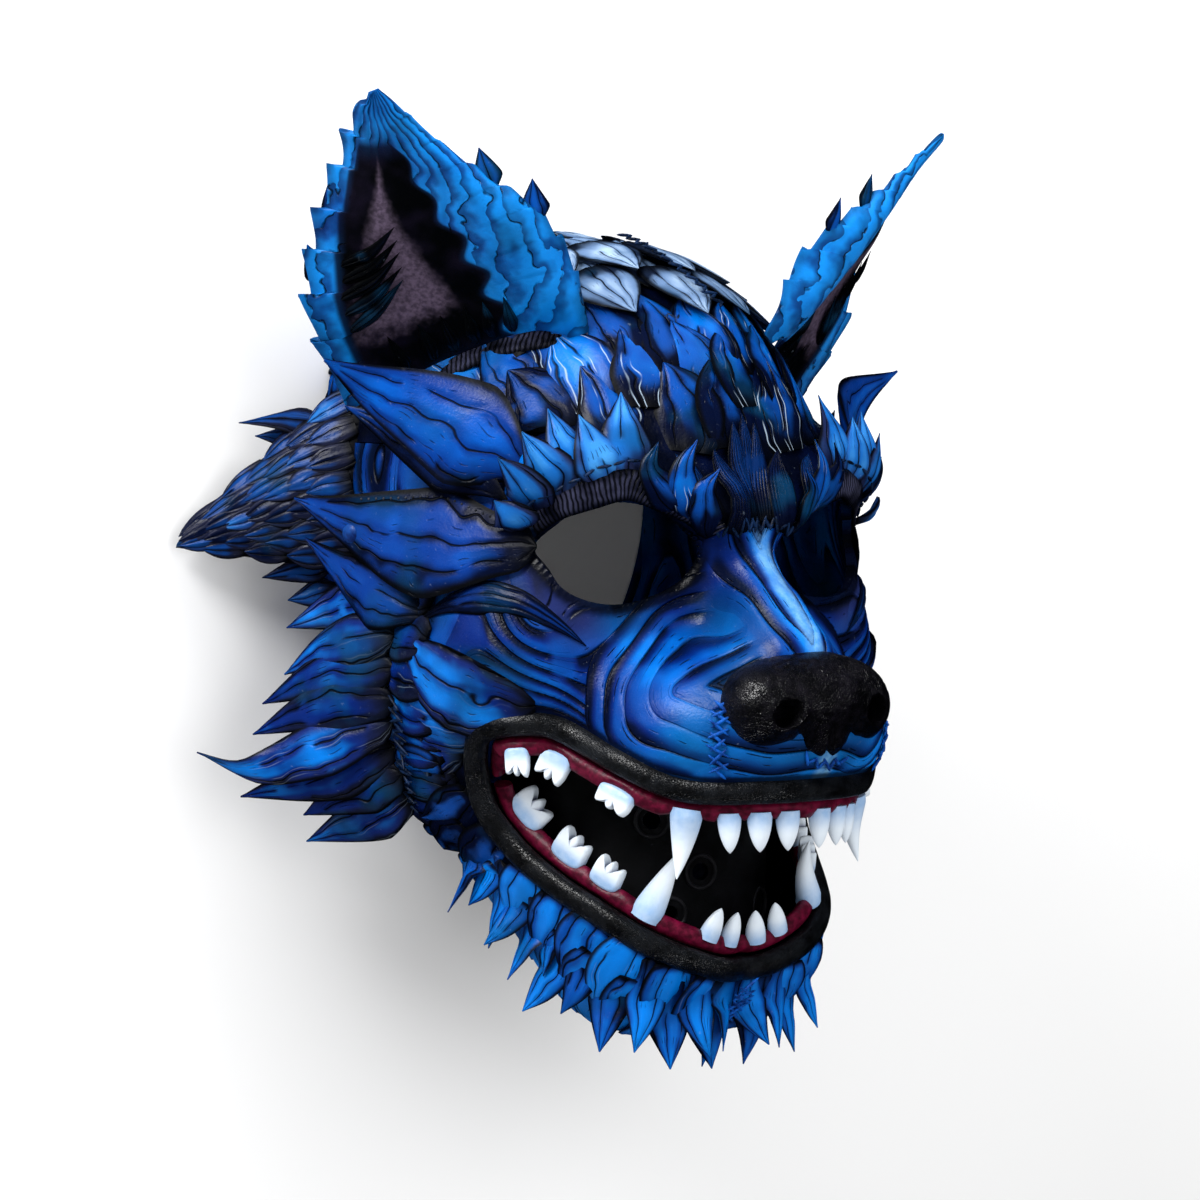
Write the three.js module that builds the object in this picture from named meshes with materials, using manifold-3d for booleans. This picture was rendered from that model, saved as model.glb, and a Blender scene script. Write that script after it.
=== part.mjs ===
// Leather werewolf mask, lying on its back rim with the face up. Sizes in millimetres.
// The shapes are worked out in the frame of the face: +X is the wearer's left, +Y the top of the mask and
// +Z forward, with y = 0 on the line of the eyes. The group at the end puts the back rim on z = 0.
import * as THREE from "three";
import { mergeVertices } from "three/addons/utils/BufferGeometryUtils.js";
import Module from "manifold-3d";

const wasm = await Module();
wasm.setup();

const EYE_LINE_Y = 15.5; // the eye line above the middle of the mask
const RIM_Z = -25; // the plane of the back rim, in the face frame
const LEATHER = 3; // thickness of the shell
const GAP = 0.35; // space left between neighbouring pieces
const SEAM = 0.2; // half of the space between two panels
const FAR = 320; // a length past every piece

// Vectors
const at = (x, y, z) => new THREE.Vector3(x, y, z);
const points = (list) => list.map(([x, y, z]) => at(x, y, z));
const flipped = (p) => at(-p.x, p.y, p.z);
const lerp = (a, b, t) => a + (b - a) * t;
const clamp = (v, low, high) => Math.min(high, Math.max(low, v));

// Signed distances
function ellipsoid(p, centre, radii) {
  const q = p.clone().sub(centre);
  const near = q.clone().divide(radii).length();
  const slope = q.divide(radii.clone().multiply(radii)).length();
  return (near * (near - 1)) / Math.max(slope, 1e-9);
}
function capsule(p, a, b, radiusA, radiusB) {
  const axis = b.clone().sub(a);
  const t = clamp(p.clone().sub(a).dot(axis) / axis.lengthSq(), 0, 1);
  return p.distanceTo(a.clone().addScaledVector(axis, t)) - lerp(radiusA, radiusB, t);
}
function blend(a, b, width) {
  const h = clamp(0.5 + (0.5 * (b - a)) / width, 0, 1);
  return lerp(b, a, h) - width * h * (1 - h);
}
const carve = (a, b, width) => -blend(-a, b, width);
const folded = (p) => at(Math.abs(p.x), p.y, p.z);

// The head: skull, face plate, jaws, cheek, muzzle, bridge and brow, with the hollow of the eye
function head(point) {
  const p = folded(point);
  let d = ellipsoid(p, at(0, 14, 20), at(86, 101, 128));
  d = blend(d, ellipsoid(p, at(42, -2, 92), at(36, 44, 46)), 20);
  d = blend(d, capsule(p, at(36, -66, 22), at(36, -66, 60), 42, 42), 26);
  d = blend(d, capsule(p, at(32, -70, 64), at(12, -132, 112), 46, 42), 24);
  d = blend(d, ellipsoid(p, at(56, -40, 86), at(38, 36, 44)), 22);
  let muzzle = ellipsoid(p, at(0, -62, 135), at(57, 36, 61));
  muzzle = blend(muzzle, capsule(p, at(0, 0, 138), at(0, -36, 172), 12, 16), 14);
  d = blend(d, muzzle, 18);
  d = blend(d, capsule(p, at(14, 14, 148), at(64, 30, 120), 9, 10), 14);
  return carve(d, ellipsoid(p, at(47, -1, 158), at(32, 19, 24)), 14);
}
// The nose: a broad pad with two wings and a lobe below
function nosePad(point) {
  const p = folded(point);
  let d = ellipsoid(p, at(0, -48, 184), at(26, 16, 20));
  d = blend(d, ellipsoid(p, at(20, -52, 183), at(14, 14, 15)), 8);
  return blend(d, ellipsoid(p, at(0, -62, 188), at(11, 9, 11)), 6);
}
function outward(p) {
  const h = 0.5;
  const slope = (dx, dy, dz) =>
    head(at(p.x + dx, p.y + dy, p.z + dz)) - head(at(p.x - dx, p.y - dy, p.z - dz));
  return at(slope(h, 0, 0), slope(0, h, 0), slope(0, 0, h)).normalize();
}
// The point of the head's surface next to a point, raised by a lift
function onHead(p, lift = 0) {
  const q = p.clone();
  for (let step = 0; step < 6; step++) q.addScaledVector(outward(q), -head(q));
  return q.addScaledVector(outward(q), lift);
}

// Solids
function solidOf(positions, faces) {
  const triVerts = new Uint32Array(faces);
  const vertProperties = positions;
  const make = () => new wasm.Manifold(new wasm.Mesh({ numProp: 3, vertProperties, triVerts }));
  const made = make();
  if (made.volume() > 0) return made;
  for (let i = 0; i < triVerts.length; i += 3) {
    const second = triVerts[i + 1];
    triVerts[i + 1] = triVerts[i + 2];
    triVerts[i + 2] = second;
  }
  return make();
}
function solid(vertices, faces) {
  const positions = new Float32Array(vertices.flatMap((v) => [v.x, v.y, v.z]));
  return solidOf(positions, faces.flat());
}
function solidFrom(geometry) {
  geometry.deleteAttribute("normal");
  geometry.deleteAttribute("uv");
  const merged = mergeVertices(geometry, 1e-4);
  return solidOf(merged.getAttribute("position").array, merged.index.array);
}
const union = (list) => list.reduce((joined, s) => joined.add(s));
const minus = (a, ...others) => others.reduce((left, b) => left.subtract(b), a);
const largest = (s) => s.decompose().sort((a, b) => b.volume() - a.volume())[0];
function mirrored(s) {
  const { vertProperties, triVerts } = s.getMesh();
  return solidOf(
    vertProperties.map((v, i) => (i % 3 === 0 ? -v : v)),
    triVerts,
  );
}
const bothSides = (s) => union([s, mirrored(s)]);
// A cylinder whose axis starts at a point and runs along a direction
function peg(start, direction, radius, length, sides = 10) {
  const geometry = new THREE.CylinderGeometry(radius, radius, length, sides);
  const turn = new THREE.Quaternion().setFromUnitVectors(at(0, 1, 0), direction);
  const middle = start.clone().addScaledVector(direction, length / 2);
  return solidFrom(geometry.applyQuaternion(turn).translate(...middle));
}
// A flat outline drawn out along Z from -FAR to FAR
function prism(outline) {
  const shape = new THREE.Shape(outline.map(([x, y]) => new THREE.Vector2(x, y)));
  const drawn = new THREE.ExtrudeGeometry(shape, { depth: 2 * FAR, bevelEnabled: false });
  return solidFrom(drawn.translate(0, 0, -FAR));
}
// Rings of equal length joined one after another, round into a band or with both ends closed
function loft(rings, round = false) {
  const n = rings[0].length;
  const faces = [];
  const bands = round ? rings.length : rings.length - 1;
  for (let r = 0; r < bands; r++)
    for (let i = 0; i < n; i++) {
      const j = (i + 1) % n;
      const below = r * n;
      const above = ((r + 1) % rings.length) * n;
      faces.push([below + i, below + j, above + j], [below + i, above + j, above + i]);
    }
  const top = (rings.length - 1) * n;
  if (!round) for (let i = 1; i < n - 1; i++) faces.push([0, i + 1, i], [top, top + i, top + i + 1]);
  return solid(rings.flat(), faces);
}
// The closed surface of a distance, seen from its core: rings round the line that runs forward
function shapeAround({ core, distance, reachFrom, angles, round }) {
  const surface = (direction) => {
    let r = reachFrom;
    for (let d = 1; d > 0.03; ) {
      d = distance(core.clone().addScaledVector(direction, r));
      r -= Math.max(0.02, d * 0.7);
    }
    return core.clone().addScaledVector(direction, r);
  };
  const vertices = [surface(at(0, 0, 1))];
  angles.forEach((angle) => {
    const polar = THREE.MathUtils.degToRad(angle);
    for (let i = 0; i < round; i++) {
      const turn = (2 * Math.PI * (i + 0.5)) / round;
      const side = Math.sin(polar);
      vertices.push(surface(at(side * Math.cos(turn), side * Math.sin(turn), Math.cos(polar))));
    }
  });
  const back = vertices.length;
  vertices.push(surface(at(0, 0, -1)));
  const faces = [];
  for (let i = 0; i < round; i++) {
    const j = (i + 1) % round;
    faces.push([0, 1 + i, 1 + j], [back, back - round + j, back - round + i]);
    for (let a = 1; a < back - round; a += round) {
      const b = a + round;
      const mirrorSide = Math.cos((2 * Math.PI * (i + 1)) / round) < 0;
      if (mirrorSide) faces.push([a + i, b + i, a + j], [b + i, b + j, a + j]);
      else faces.push([a + i, b + i, b + j], [a + i, b + j, a + j]);
    }
  }
  return solid(vertices, faces);
}
const HEAD_ANGLES = [11, 22, 32, 42, 52, 62, 73, 85, 98, 112, 128, 150];
const dome = (offset) =>
  shapeAround({
    core: at(0, -25, 60),
    distance: (p) => head(p) - offset,
    reachFrom: 240,
    angles: HEAD_ANGLES,
    round: 30,
  });
// All directions that pass through a loop, seen from an inner point
function cone(apex, loop, farPoint) {
  const vertices = [apex, farPoint, ...loop.map((p) => apex.clone().lerp(p, 1.7))];
  const faces = [];
  loop.forEach((_, i) => {
    const a = 2 + i;
    const b = 2 + ((i + 1) % loop.length);
    faces.push([0, a, b], [1, b, a]);
  });
  return solid(vertices, faces);
}
// Evenly spaced points of a smooth curve
function smooth(list, count, closed = false) {
  const curve = new THREE.CatmullRomCurve3(list, closed, "centripetal");
  return closed ? curve.getSpacedPoints(count).slice(0, -1) : curve.getSpacedPoints(count - 1);
}
// A leaf, lock, tuft or strip: flat across, thick in the middle and thin at both edges
function lock({ path, widths, thick, side = null, grow = 0 }) {
  const last = path.length - 1;
  const rings = path.map((p, i) => {
    const along = path[Math.min(last, i + 1)].clone().sub(path[Math.max(0, i - 1)]).normalize();
    const across = (side ?? outward(p)).clone().cross(along).normalize();
    const over = along.clone().cross(across).normalize();
    const half = widths[i] / 2 + grow;
    const depth = (i === last ? thick / 4 : thick / 2) + grow;
    return [
      p.clone().addScaledVector(across, -half),
      p.clone().addScaledVector(over, -depth),
      p.clone().addScaledVector(across, half),
      p.clone().addScaledVector(over, depth),
    ];
  });
  return loft(rings);
}
// A carved leaf that lies on the head and rises towards its tip
function leaf({ root, tip, width, rise, thick = 3.5, grow = 0 }) {
  const path = [0, 0.45, 1].map((t) => onHead(root.clone().lerp(tip, t), 0.4 + rise * t));
  return lock({ path, widths: [0.6 * width, width, 1.2], thick, grow });
}
const leaves = (list, grow = 0) => list.map((l) => leaf({ ...l, grow }));
const withMirrored = (list) => [
  ...list,
  ...list.map((l) => ({ ...l, root: flipped(l.root), tip: flipped(l.tip) })),
];
// A lock that leaves the head: a smooth path whose width swells and then runs out in a point.
function freeLock({ path, width, thick = 5, stations = 5, side = null, grow = 0 }) {
  const line = smooth(points(path), stations);
  const swell = (t) => Math.max(0.07, Math.sin(Math.PI * (0.2 + 0.8 * t)) ** 0.8);
  const widths = line.map((_, i) => width * swell(i / (stations - 1)));
  return lock({ path: line, widths, thick, side, grow });
}
// A strip of leather that lies on the head and holds the roots of leaves
function strip({ path, width, lift, thick = 3, stations = 6, grow = 0 }) {
  const line = smooth(points(path), stations).map((p) => onHead(p, lift));
  return lock({ path: line, widths: line.map(() => width), thick, grow });
}
// A sheet of leather from rows of points of equal length
function sheet({ rows, thick, grow = 0 }) {
  const height = rows.length;
  const width = rows[0].length;
  const pick = (r, c) => rows[clamp(r, 0, height - 1)][clamp(c, 0, width - 1)];
  const layer = (offset) =>
    rows.flatMap((row, r) =>
      row.map((p, c) => {
        const down = pick(r + 1, c).clone().sub(pick(r - 1, c));
        const over = pick(r, c + 1).clone().sub(pick(r, c - 1));
        return p.clone().addScaledVector(over.cross(down).normalize(), offset);
      }),
    );
  const half = thick / 2 + grow;
  const size = height * width;
  const faces = [];
  for (let r = 0; r < height - 1; r++)
    for (let c = 0; c < width - 1; c++) {
      const a = r * width + c;
      const b = a + width;
      faces.push([a, a + 1, b + 1], [a, b + 1, b]);
      faces.push([size + a, size + b + 1, size + a + 1], [size + a, size + b, size + b + 1]);
    }
  const edge = [];
  for (let c = 0; c < width - 1; c++) edge.push(c);
  for (let r = 0; r < height - 1; r++) edge.push(r * width + width - 1);
  for (let c = width - 1; c > 0; c--) edge.push((height - 1) * width + c);
  for (let r = height - 1; r > 0; r--) edge.push(r * width);
  edge.forEach((a, i) => {
    const b = edge[(i + 1) % edge.length];
    faces.push([a, size + a, size + b], [a, size + b, b]);
  });
  return solid([...layer(half), ...layer(-half)], faces);
}

// Mouth: the middle of the black lip, from the centre of the upper lip round one corner to the lower lip
const LIP_HALF = points([
  [0, -80, 190],
  [20, -80, 185],
  [40, -78, 166],
  [52, -72, 152],
  [59, -65, 133],
  [69, -60, 122],
  [78, -60, 112],
  [82, -64, 104],
  [80, -72, 97],
  [76, -82, 92],
  [72, -94, 91],
  [65, -107, 99],
  [56, -119, 115],
  [49, -127, 129],
  [40, -135, 141],
  [24, -143, 149],
  [0, -150, 151],
]);
const LIP_STATIONS = 36;
const LIP_LIFT = 0.8;
const wholeLoop = [...LIP_HALF, ...LIP_HALF.slice(1, -1).reverse().map(flipped)];
const lipLoop = smooth(wholeLoop, LIP_STATIONS, true).map((p) => onHead(p, LIP_LIFT));
// At each station of the lip: its point, and the directions along it, into the mouth and out of the face.
// They are square to the opening as it is cut through the leather, straight out from the middle of the mouth.
const MOUTH_CORE = at(0, -98, 52);
const lipFrames = lipLoop.map((p, i) => {
  const before = lipLoop[(i + LIP_STATIONS - 1) % LIP_STATIONS];
  const along = lipLoop[(i + 1) % LIP_STATIONS].clone().sub(before).normalize();
  const inside = along.clone().cross(p.clone().sub(MOUTH_CORE)).normalize();
  return { p, along, inside, out: inside.clone().cross(along) };
});
const inFrame = (f, inside, out) => f.p.clone().addScaledVector(f.inside, inside).addScaledVector(f.out, out);
const LIP_HALF_WIDTH = 4.6;
const LIP_CLEARANCE = 0.9; // a little more than the gap, because the opening and the band have flat facets
const LIP_SECTION = [
  [-LIP_HALF_WIDTH, 0.4],
  [-2.6, 2.8],
  [1.8, 3],
  [LIP_HALF_WIDTH, 0.6],
  [3.2, -3.4],
  [-LIP_HALF_WIDTH, -3],
];
const lipBand = loft(
  lipFrames.map((f) => LIP_SECTION.map(([a, b]) => inFrame(f, a, b))),
  true,
);

// Eye: the almond opening with its pointed outer corner
const EYE = points([
  [17, 1, 144],
  [26, 10, 142],
  [37, 16, 142],
  [49, 18, 139],
  [57, 16, 134],
  [65, 11, 127],
  [72, 2, 119],
  [69, -5, 124],
  [64, -13, 129],
  [56, -17, 133],
  [45, -18, 135],
  [33, -16, 137],
  [22, -10, 140],
]);

// The carved work that stands up from the panels of the shell
const foreheadLeaves = [
  { root: at(0, 12, 156), tip: at(0, 46, 144), width: 20, rise: 2 },
  { root: at(0, 42, 146), tip: at(0, 78, 120), width: 22, rise: 2 },
  ...withMirrored([
    { root: at(9, 22, 153), tip: at(14, 54, 138), width: 15, rise: 2 },
    { root: at(13, 50, 140), tip: at(16, 80, 116), width: 17, rise: 2 },
    { root: at(58, 46, 110), tip: at(44, 70, 102), width: 20, rise: 2.5 },
    { root: at(72, 48, 86), tip: at(60, 70, 84), width: 22, rise: 2.5 },
  ]),
];
const crownLeaves = [
  { root: at(0, 82, 114), tip: at(0, 104, 84), width: 34, rise: 3 },
  { root: at(0, 102, 80), tip: at(0, 113, 44), width: 34, rise: 2.5 },
  { root: at(0, 112, 42), tip: at(0, 114, 4), width: 34, rise: 2.5 },
  ...withMirrored([
    { root: at(24, 86, 102), tip: at(26, 104, 70), width: 26, rise: 3 },
    { root: at(32, 99, 64), tip: at(34, 105, 24), width: 30, rise: 2.5 },
  ]),
];
const jawLeaves = withMirrored([
  { root: at(78, -92, 74), tip: at(72, -112, 58), width: 18, rise: 1 },
  { root: at(66, -112, 94), tip: at(60, -134, 84), width: 16, rise: 1 },
  { root: at(52, -128, 118), tip: at(44, -150, 104), width: 16, rise: 1 },
]);
// Raised strands that run from the muzzle over the cheek, and down the bridge of the nose
const STRANDS = [
  { width: 10, path: [[18, -16, 172], [36, -36, 166], [52, -40, 146], [68, -32, 126], [86, -36, 94]] },
  { width: 10, path: [[34, -62, 178], [50, -58, 154], [66, -50, 130], [82, -54, 100], [88, -60, 76]] },
];
function strands(grow = 0) {
  const made = STRANDS.map(({ path, width }) => {
    const line = smooth(points(path), 5).map((p) => onHead(p, 0.3));
    const widths = line.map((_, i) => 1.5 + width * Math.sin((Math.PI * i) / (line.length - 1)));
    return lock({ path: line, widths, thick: 3, grow });
  });
  return [...made, ...made.map(mirrored)];
}

// The leather shell with its openings, parted along the seams
const outerHead = dome(0);
const innerHead = dome(-LEATHER);
const eyeCone = bothSides(cone(at(34, -2, 70), EYE, at(60, -2, 300)));
const mouthEdge = lipFrames.map((f) => inFrame(f, -LIP_HALF_WIDTH - LIP_CLEARANCE, 0));
const mouthCone = cone(MOUTH_CORE, mouthEdge, at(0, -98, 330));
const hollow = union([innerHead, mouthCone, eyeCone]);
const ahead = solidFrom(new THREE.BoxGeometry(2 * FAR, 2 * FAR, FAR).translate(0, 0, RIM_Z + FAR / 2));
const HAIRLINE_Y = 65; // the seam between crown and forehead, at the rim
const HAIRLINE_RISE = 0.13; // how much higher it is for each millimetre forward
function aboveHairline(shift) {
  const block = new THREE.BoxGeometry(2 * FAR, 2 * FAR, 4 * FAR).translate(0, FAR + shift, 0);
  const tilted = block.rotateX(-Math.atan(HAIRLINE_RISE));
  return solidFrom(tilted.translate(0, HAIRLINE_Y - RIM_Z * HAIRLINE_RISE, 0));
}
// The seams on the face, from the side of the head to the middle
const BROW_SEAM = [
  [FAR, 38],
  [62, 36],
  [34, 26],
  [14, 9],
];
const LIP_SEAM = [
  [FAR, -76],
  [72, -76],
  [60, -100],
];
// The seam between muzzle and cheek: down through the eye and round the front of the cheek to the lip
const MUZZLE_SEAM = [
  [46, FAR],
  [46, -20],
  [56, -40],
  [54, -64],
  [44, -80],
  [44, -FAR],
];
const MUZZLE_BACK_Z = 80;
function aboveSeam(seam, shift) {
  const half = seam.map(([x, y]) => [x, y + shift]);
  const otherHalf = half.map(([x, y]) => [-x, y]);
  return prism([...otherHalf, ...half.reverse(), [FAR, FAR], [-FAR, FAR]]);
}
function muzzleBlock(shift) {
  const half = MUZZLE_SEAM.map(([x, y]) => [x + shift, y]);
  const otherHalf = half.map(([x, y]) => [-x, y]).reverse();
  const back = new THREE.BoxGeometry(2 * FAR, 2 * FAR, FAR).translate(0, 0, MUZZLE_BACK_Z - shift + FAR / 2);
  return prism([...half, ...otherHalf]).intersect(solidFrom(back));
}
const leather = (raised) => minus(outerHead.add(raised), hollow).intersect(ahead);
const crownWork = leather(union(leaves(crownLeaves)));
const foreheadWork = leather(union(leaves(foreheadLeaves)));
const faceWork = leather(union(strands()));
const jawWork = leather(union(leaves(jawLeaves)));
const crown = largest(crownWork.intersect(aboveHairline(SEAM)));
const forehead = largest(minus(foreheadWork.intersect(aboveSeam(BROW_SEAM, SEAM)), aboveHairline(-SEAM)));
const face = minus(faceWork.intersect(aboveSeam(LIP_SEAM, SEAM)), aboveSeam(BROW_SEAM, -SEAM));
const muzzle = largest(face.intersect(muzzleBlock(-SEAM)));
const leftHalf = solidFrom(new THREE.BoxGeometry(FAR, 2 * FAR, 2 * FAR).translate(FAR / 2, 0, 0));
const cheek = largest(minus(face, muzzleBlock(SEAM)).intersect(leftHalf));
const jaw = largest(minus(jawWork, aboveSeam(LIP_SEAM, -SEAM)));
// The head with all its carved work and a little air, for the pieces that lie on it
const grownHead = union([
  dome(GAP),
  ...leaves([...crownLeaves, ...foreheadLeaves, ...jawLeaves], GAP),
  ...strands(GAP),
]);

// Ear: a cupped sheet with a jagged inner edge. Each row runs from the inner edge over the fold and through
// the hollow to the outer edge.
const EAR_ROWS = [
  [[37, 72, 103], [54, 78, 100], [70, 70, 70], [87, 58, 50], [102, 48, 42]],
  [[43, 86, 108], [60, 90, 109], [80, 90, 80], [104, 84, 58], [121, 84, 50]],
  [[52, 104, 109], [72, 105, 112], [91, 106, 88], [110, 104, 68], [122, 104, 54]],
  [[69, 120, 112], [85, 119, 112], [98, 119, 94], [112, 118, 80], [123, 120, 64]],
  [[87, 130, 109], [98, 131, 109], [106, 132, 98], [115, 134, 88], [122, 137, 76]],
  [[110, 145, 105], [113, 146, 105], [117, 146, 101], [121, 147, 96], [126, 148, 90]],
  [[126, 158, 104], [126.6, 157.6, 103.6], [127.2, 157.2, 103], [127.8, 156.8, 102.4], [128.4, 156.4, 102]],
];
const EAR_SPIKES = [
  [[82, 124, 109], [85, 131, 109], [88, 140, 108]],
  [[64, 114, 111], [67, 121, 112], [69, 130, 113]],
  [[116, 92, 52], [120, 98, 52], [125, 107, 53]],
  [[115, 112, 62], [119, 119, 62], [121.5, 129, 62]],
];
const EAR_FACING = at(0.3, -0.4, 0.86);
const ear = (grow) =>
  union([
    sheet({ rows: EAR_ROWS.map(points), thick: LEATHER, grow }),
    ...EAR_SPIKES.map((path) => freeLock({ path, width: 11, thick: 3, stations: 3, side: EAR_FACING, grow })),
  ]);

// Locks that sweep back from the eye and cheek and end in free points
const TEMPLE_LOCK = [[66, 24, 122], [80, 36, 106], [94, 47, 90], [110, 56, 78], [130, 66, 75]];
const TEMPLE_UNDERLOCK = [[76, 18, 110], [88, 32, 90], [100, 42, 72], [112, 50, 58]];
const CHEEK_LOCK_UPPER = [[72, 4, 122], [86, 6, 100], [95, 8, 78], [104, 11, 54], [117, 16, 30]];
const CHEEK_LOCK_LOWER = [[77, -18, 119], [92, -18, 96], [97, -15, 72], [100, -9, 48], [107, 0, 24]];
const templeLock = (grow) =>
  union([
    freeLock({ path: TEMPLE_LOCK, width: 36, grow }),
    freeLock({ path: TEMPLE_UNDERLOCK, width: 22, grow }),
  ]);
const cheekLockUpper = (grow) => freeLock({ path: CHEEK_LOCK_UPPER, width: 27, grow });
const cheekLockLower = (grow) => freeLock({ path: CHEEK_LOCK_LOWER, width: 27, grow });

// Brow: leaves that fan out over the eye from a stitched strip, and curled locks beside the nose's bridge
const BROW_LEAVES = [
  [[74, 8, 118], [80, 14, 121], [84, 20, 121]],
  [[70, 14, 122], [78, 24, 124], [82, 36, 122]],
  [[65, 18, 129], [72, 30, 131], [76, 42, 128]],
  [[59, 21, 135], [65, 35, 133], [65, 50, 126]],
  [[52, 23, 139], [56, 35, 139], [55, 47, 134]],
  [[45, 25, 143], [46, 40, 139], [42, 54, 132]],
];
const BROW_STRIP = [[75, 7, 115], [68, 16, 126], [58, 21, 135], [46, 24, 142]];
const browLeaves = (grow) =>
  union([
    strip({ path: BROW_STRIP, width: 8, lift: 2.2, stations: 5, grow }),
    ...BROW_LEAVES.map((path) => freeLock({ path, width: 14, thick: 3.5, stations: 3, grow })),
  ]);
const BROW_CURLS = [
  [[42, 22, 146], [43, 30, 150], [39, 37, 152]],
  [[33, 18, 149], [28, 28, 155], [26, 38, 155]],
  [[24, 11, 153], [20, 20, 159], [25, 28, 162]],
];
const CURL_STRIP = [[42, 22, 145], [33, 18, 149], [24, 11, 153], [19, 6, 154]];
const browCurls = (grow) =>
  union([
    strip({ path: CURL_STRIP, width: 8, lift: 2.2, stations: 4, grow }),
    ...BROW_CURLS.map((path) => freeLock({ path, width: 11, thick: 4, stations: 3, grow })),
  ]);

// Side flap: a scaled triangle of leather behind the eye, with small tufts above and below it
const FLAP_ROWS = [
  [[78, 60, 12], [84, 34, 18], [86, 10, 20], [84, -12, 18]],
  [[94, 45, 0], [100, 28, 6], [102, 10, 8], [99, -10, 4]],
  [[116, 22, -12], [118, 14, -8], [119, 6, -7], [118, -7, -9]],
  [[139, -2, -20], [139.3, -2.6, -20], [139.6, -3.2, -20], [140, -4, -20]],
];
const FLAP_TUFTS = [
  [[84, 42, 4], [102, 44, -4], [119, 43, -10]],
  [[84, 38, -2], [100, 38, -8], [110, 38, -14]],
  [[84, -8, 8], [98, -12, 0], [112, -15, -4]],
  [[84, -18, 6], [92, -22, -2], [100, -24, -6]],
];
const sideFlap = (grow) =>
  union([
    sheet({ rows: FLAP_ROWS.map(points), thick: LEATHER, grow }),
    ...FLAP_TUFTS.map((path) => freeLock({ path, width: 13, thick: 4, stations: 3, grow })),
  ]);

// Cheek mane: tufts that stand back from a strip along the hinge of the jaw
const MANE_TUFTS = [
  [[92, -18, 62], [100, -24, 34], [109, -33, 10]],
  [[95, -32, 66], [106, -38, 38], [112, -50, 14]],
  [[95, -44, 66], [108, -48, 38], [119, -61, 10]],
  [[94, -56, 64], [110, -60, 38], [124, -72, 12]],
  [[92, -64, 60], [112, -76, 38], [130, -84, 20], [145, -78, 8]],
  [[90, -74, 58], [106, -86, 36], [129, -95, 12]],
  [[88, -84, 60], [98, -92, 40], [108, -102, 22]],
  [[82, -92, 56], [90, -104, 34], [100, -114, 10]],
];
const MANE_STRIP = [[93, -16, 64], [97, -44, 70], [90, -74, 64], [80, -98, 54]];
const cheekMane = (grow) =>
  union([
    strip({ path: MANE_STRIP, width: 24, lift: 1.8, grow }),
    ...MANE_TUFTS.map((path) => freeLock({ path, width: 17, stations: path.length, grow })),
  ]);

// Beard: tufts that hang from a strip under the jaw. Each is given by its root and its length.
const BEARD_TUFTS = [
  { root: [70, -115, 72], long: 14 },
  { root: [62, -124, 84], long: 15 },
  { root: [53, -133, 97], long: 16 },
  { root: [43, -141, 108], long: 17 },
  { root: [33, -148, 121], long: 18 },
  { root: [22, -153, 130], long: 19 },
  { root: [11, -157, 135], long: 20 },
];
function beardTuft({ root, long }, grow) {
  const start = onHead(at(...root), 3);
  const heading = outward(start).add(at(0, -1.3, 0)).normalize();
  const path = [0, 0.5, 1].map((t) => start.clone().addScaledVector(heading, long * t).toArray());
  return freeLock({ path, width: 15, stations: 3, grow });
}
const BEARD_TIP = [[0, -156, 142], [0, -174, 134], [0, -189, 127]];
const BEARD_RIM = [[72, -112, 72], [52, -134, 98], [30, -150, 126]];
const CHIN_RIM = [0, -158, 136];
const beard = (grow) => {
  const otherRim = BEARD_RIM.map(([x, y, z]) => [-x, y, z]).reverse();
  return union([
    strip({ path: [...BEARD_RIM, CHIN_RIM, ...otherRim], width: 13, lift: 2.2, stations: 11, grow }),
    freeLock({ path: BEARD_TIP, width: 15, stations: 3, grow }),
    bothSides(union(BEARD_TUFTS.map((tuft) => beardTuft(tuft, grow)))),
  ]);
};

// Nose, with its two nostrils. It lies on the front of the muzzle.
const NOSE_CORE = at(0, -50, 182);
const NOSE_ANGLES = [26, 52, 80, 115];
const NOSTRIL_FLOOR = at(21, -53, 188);
const NOSTRIL_FACING = at(-0.16, 0.08, 0.98).normalize();
const NOSTRIL_RADIUS = 4.2;
const nose = (grow) =>
  shapeAround({
    core: NOSE_CORE,
    distance: (p) => nosePad(p) - grow,
    reachFrom: 50,
    angles: NOSE_ANGLES,
    round: 18,
  });
const nostril = peg(NOSTRIL_FLOOR, NOSTRIL_FACING, NOSTRIL_RADIUS, 30, 6);

// Gums: soft strips on the inner side of the lip, one above and one below
const GUM_SECTION = [
  [3.6, -4.6],
  [6.4, -3],
  [8.4, -6],
  [6.6, -9],
  [3, -8],
];
const GUM_EDGE = 8.4; // how far the gum's rim is from the middle of the lip
const GUM_MIDDLE_OUT = -6; // how far the gum's middle is behind the lip
const GUM_CENTRE = 5.6;
function gum(frames, grow = 0) {
  const grown = ([a, b]) => {
    const away = [a - GUM_CENTRE, b - GUM_MIDDLE_OUT];
    const scale = 1 + grow / Math.hypot(...away);
    return [GUM_CENTRE + away[0] * scale, GUM_MIDDLE_OUT + away[1] * scale];
  };
  const section = GUM_SECTION.map(grown);
  return loft(frames.map((f) => section.map(([a, b]) => inFrame(f, a, b))));
}
const UPPER_GUM_END_Y = -84;
const LOWER_GUM_END_Y = -85;
const halfWay = LIP_STATIONS / 2;
const fromBelow = [...lipFrames.slice(halfWay), ...lipFrames.slice(0, halfWay)];
const upperFrames = fromBelow.filter((f) => f.p.y > UPPER_GUM_END_Y);
const lowerFrames = lipFrames.filter((f) => f.p.y < LOWER_GUM_END_Y);
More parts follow.
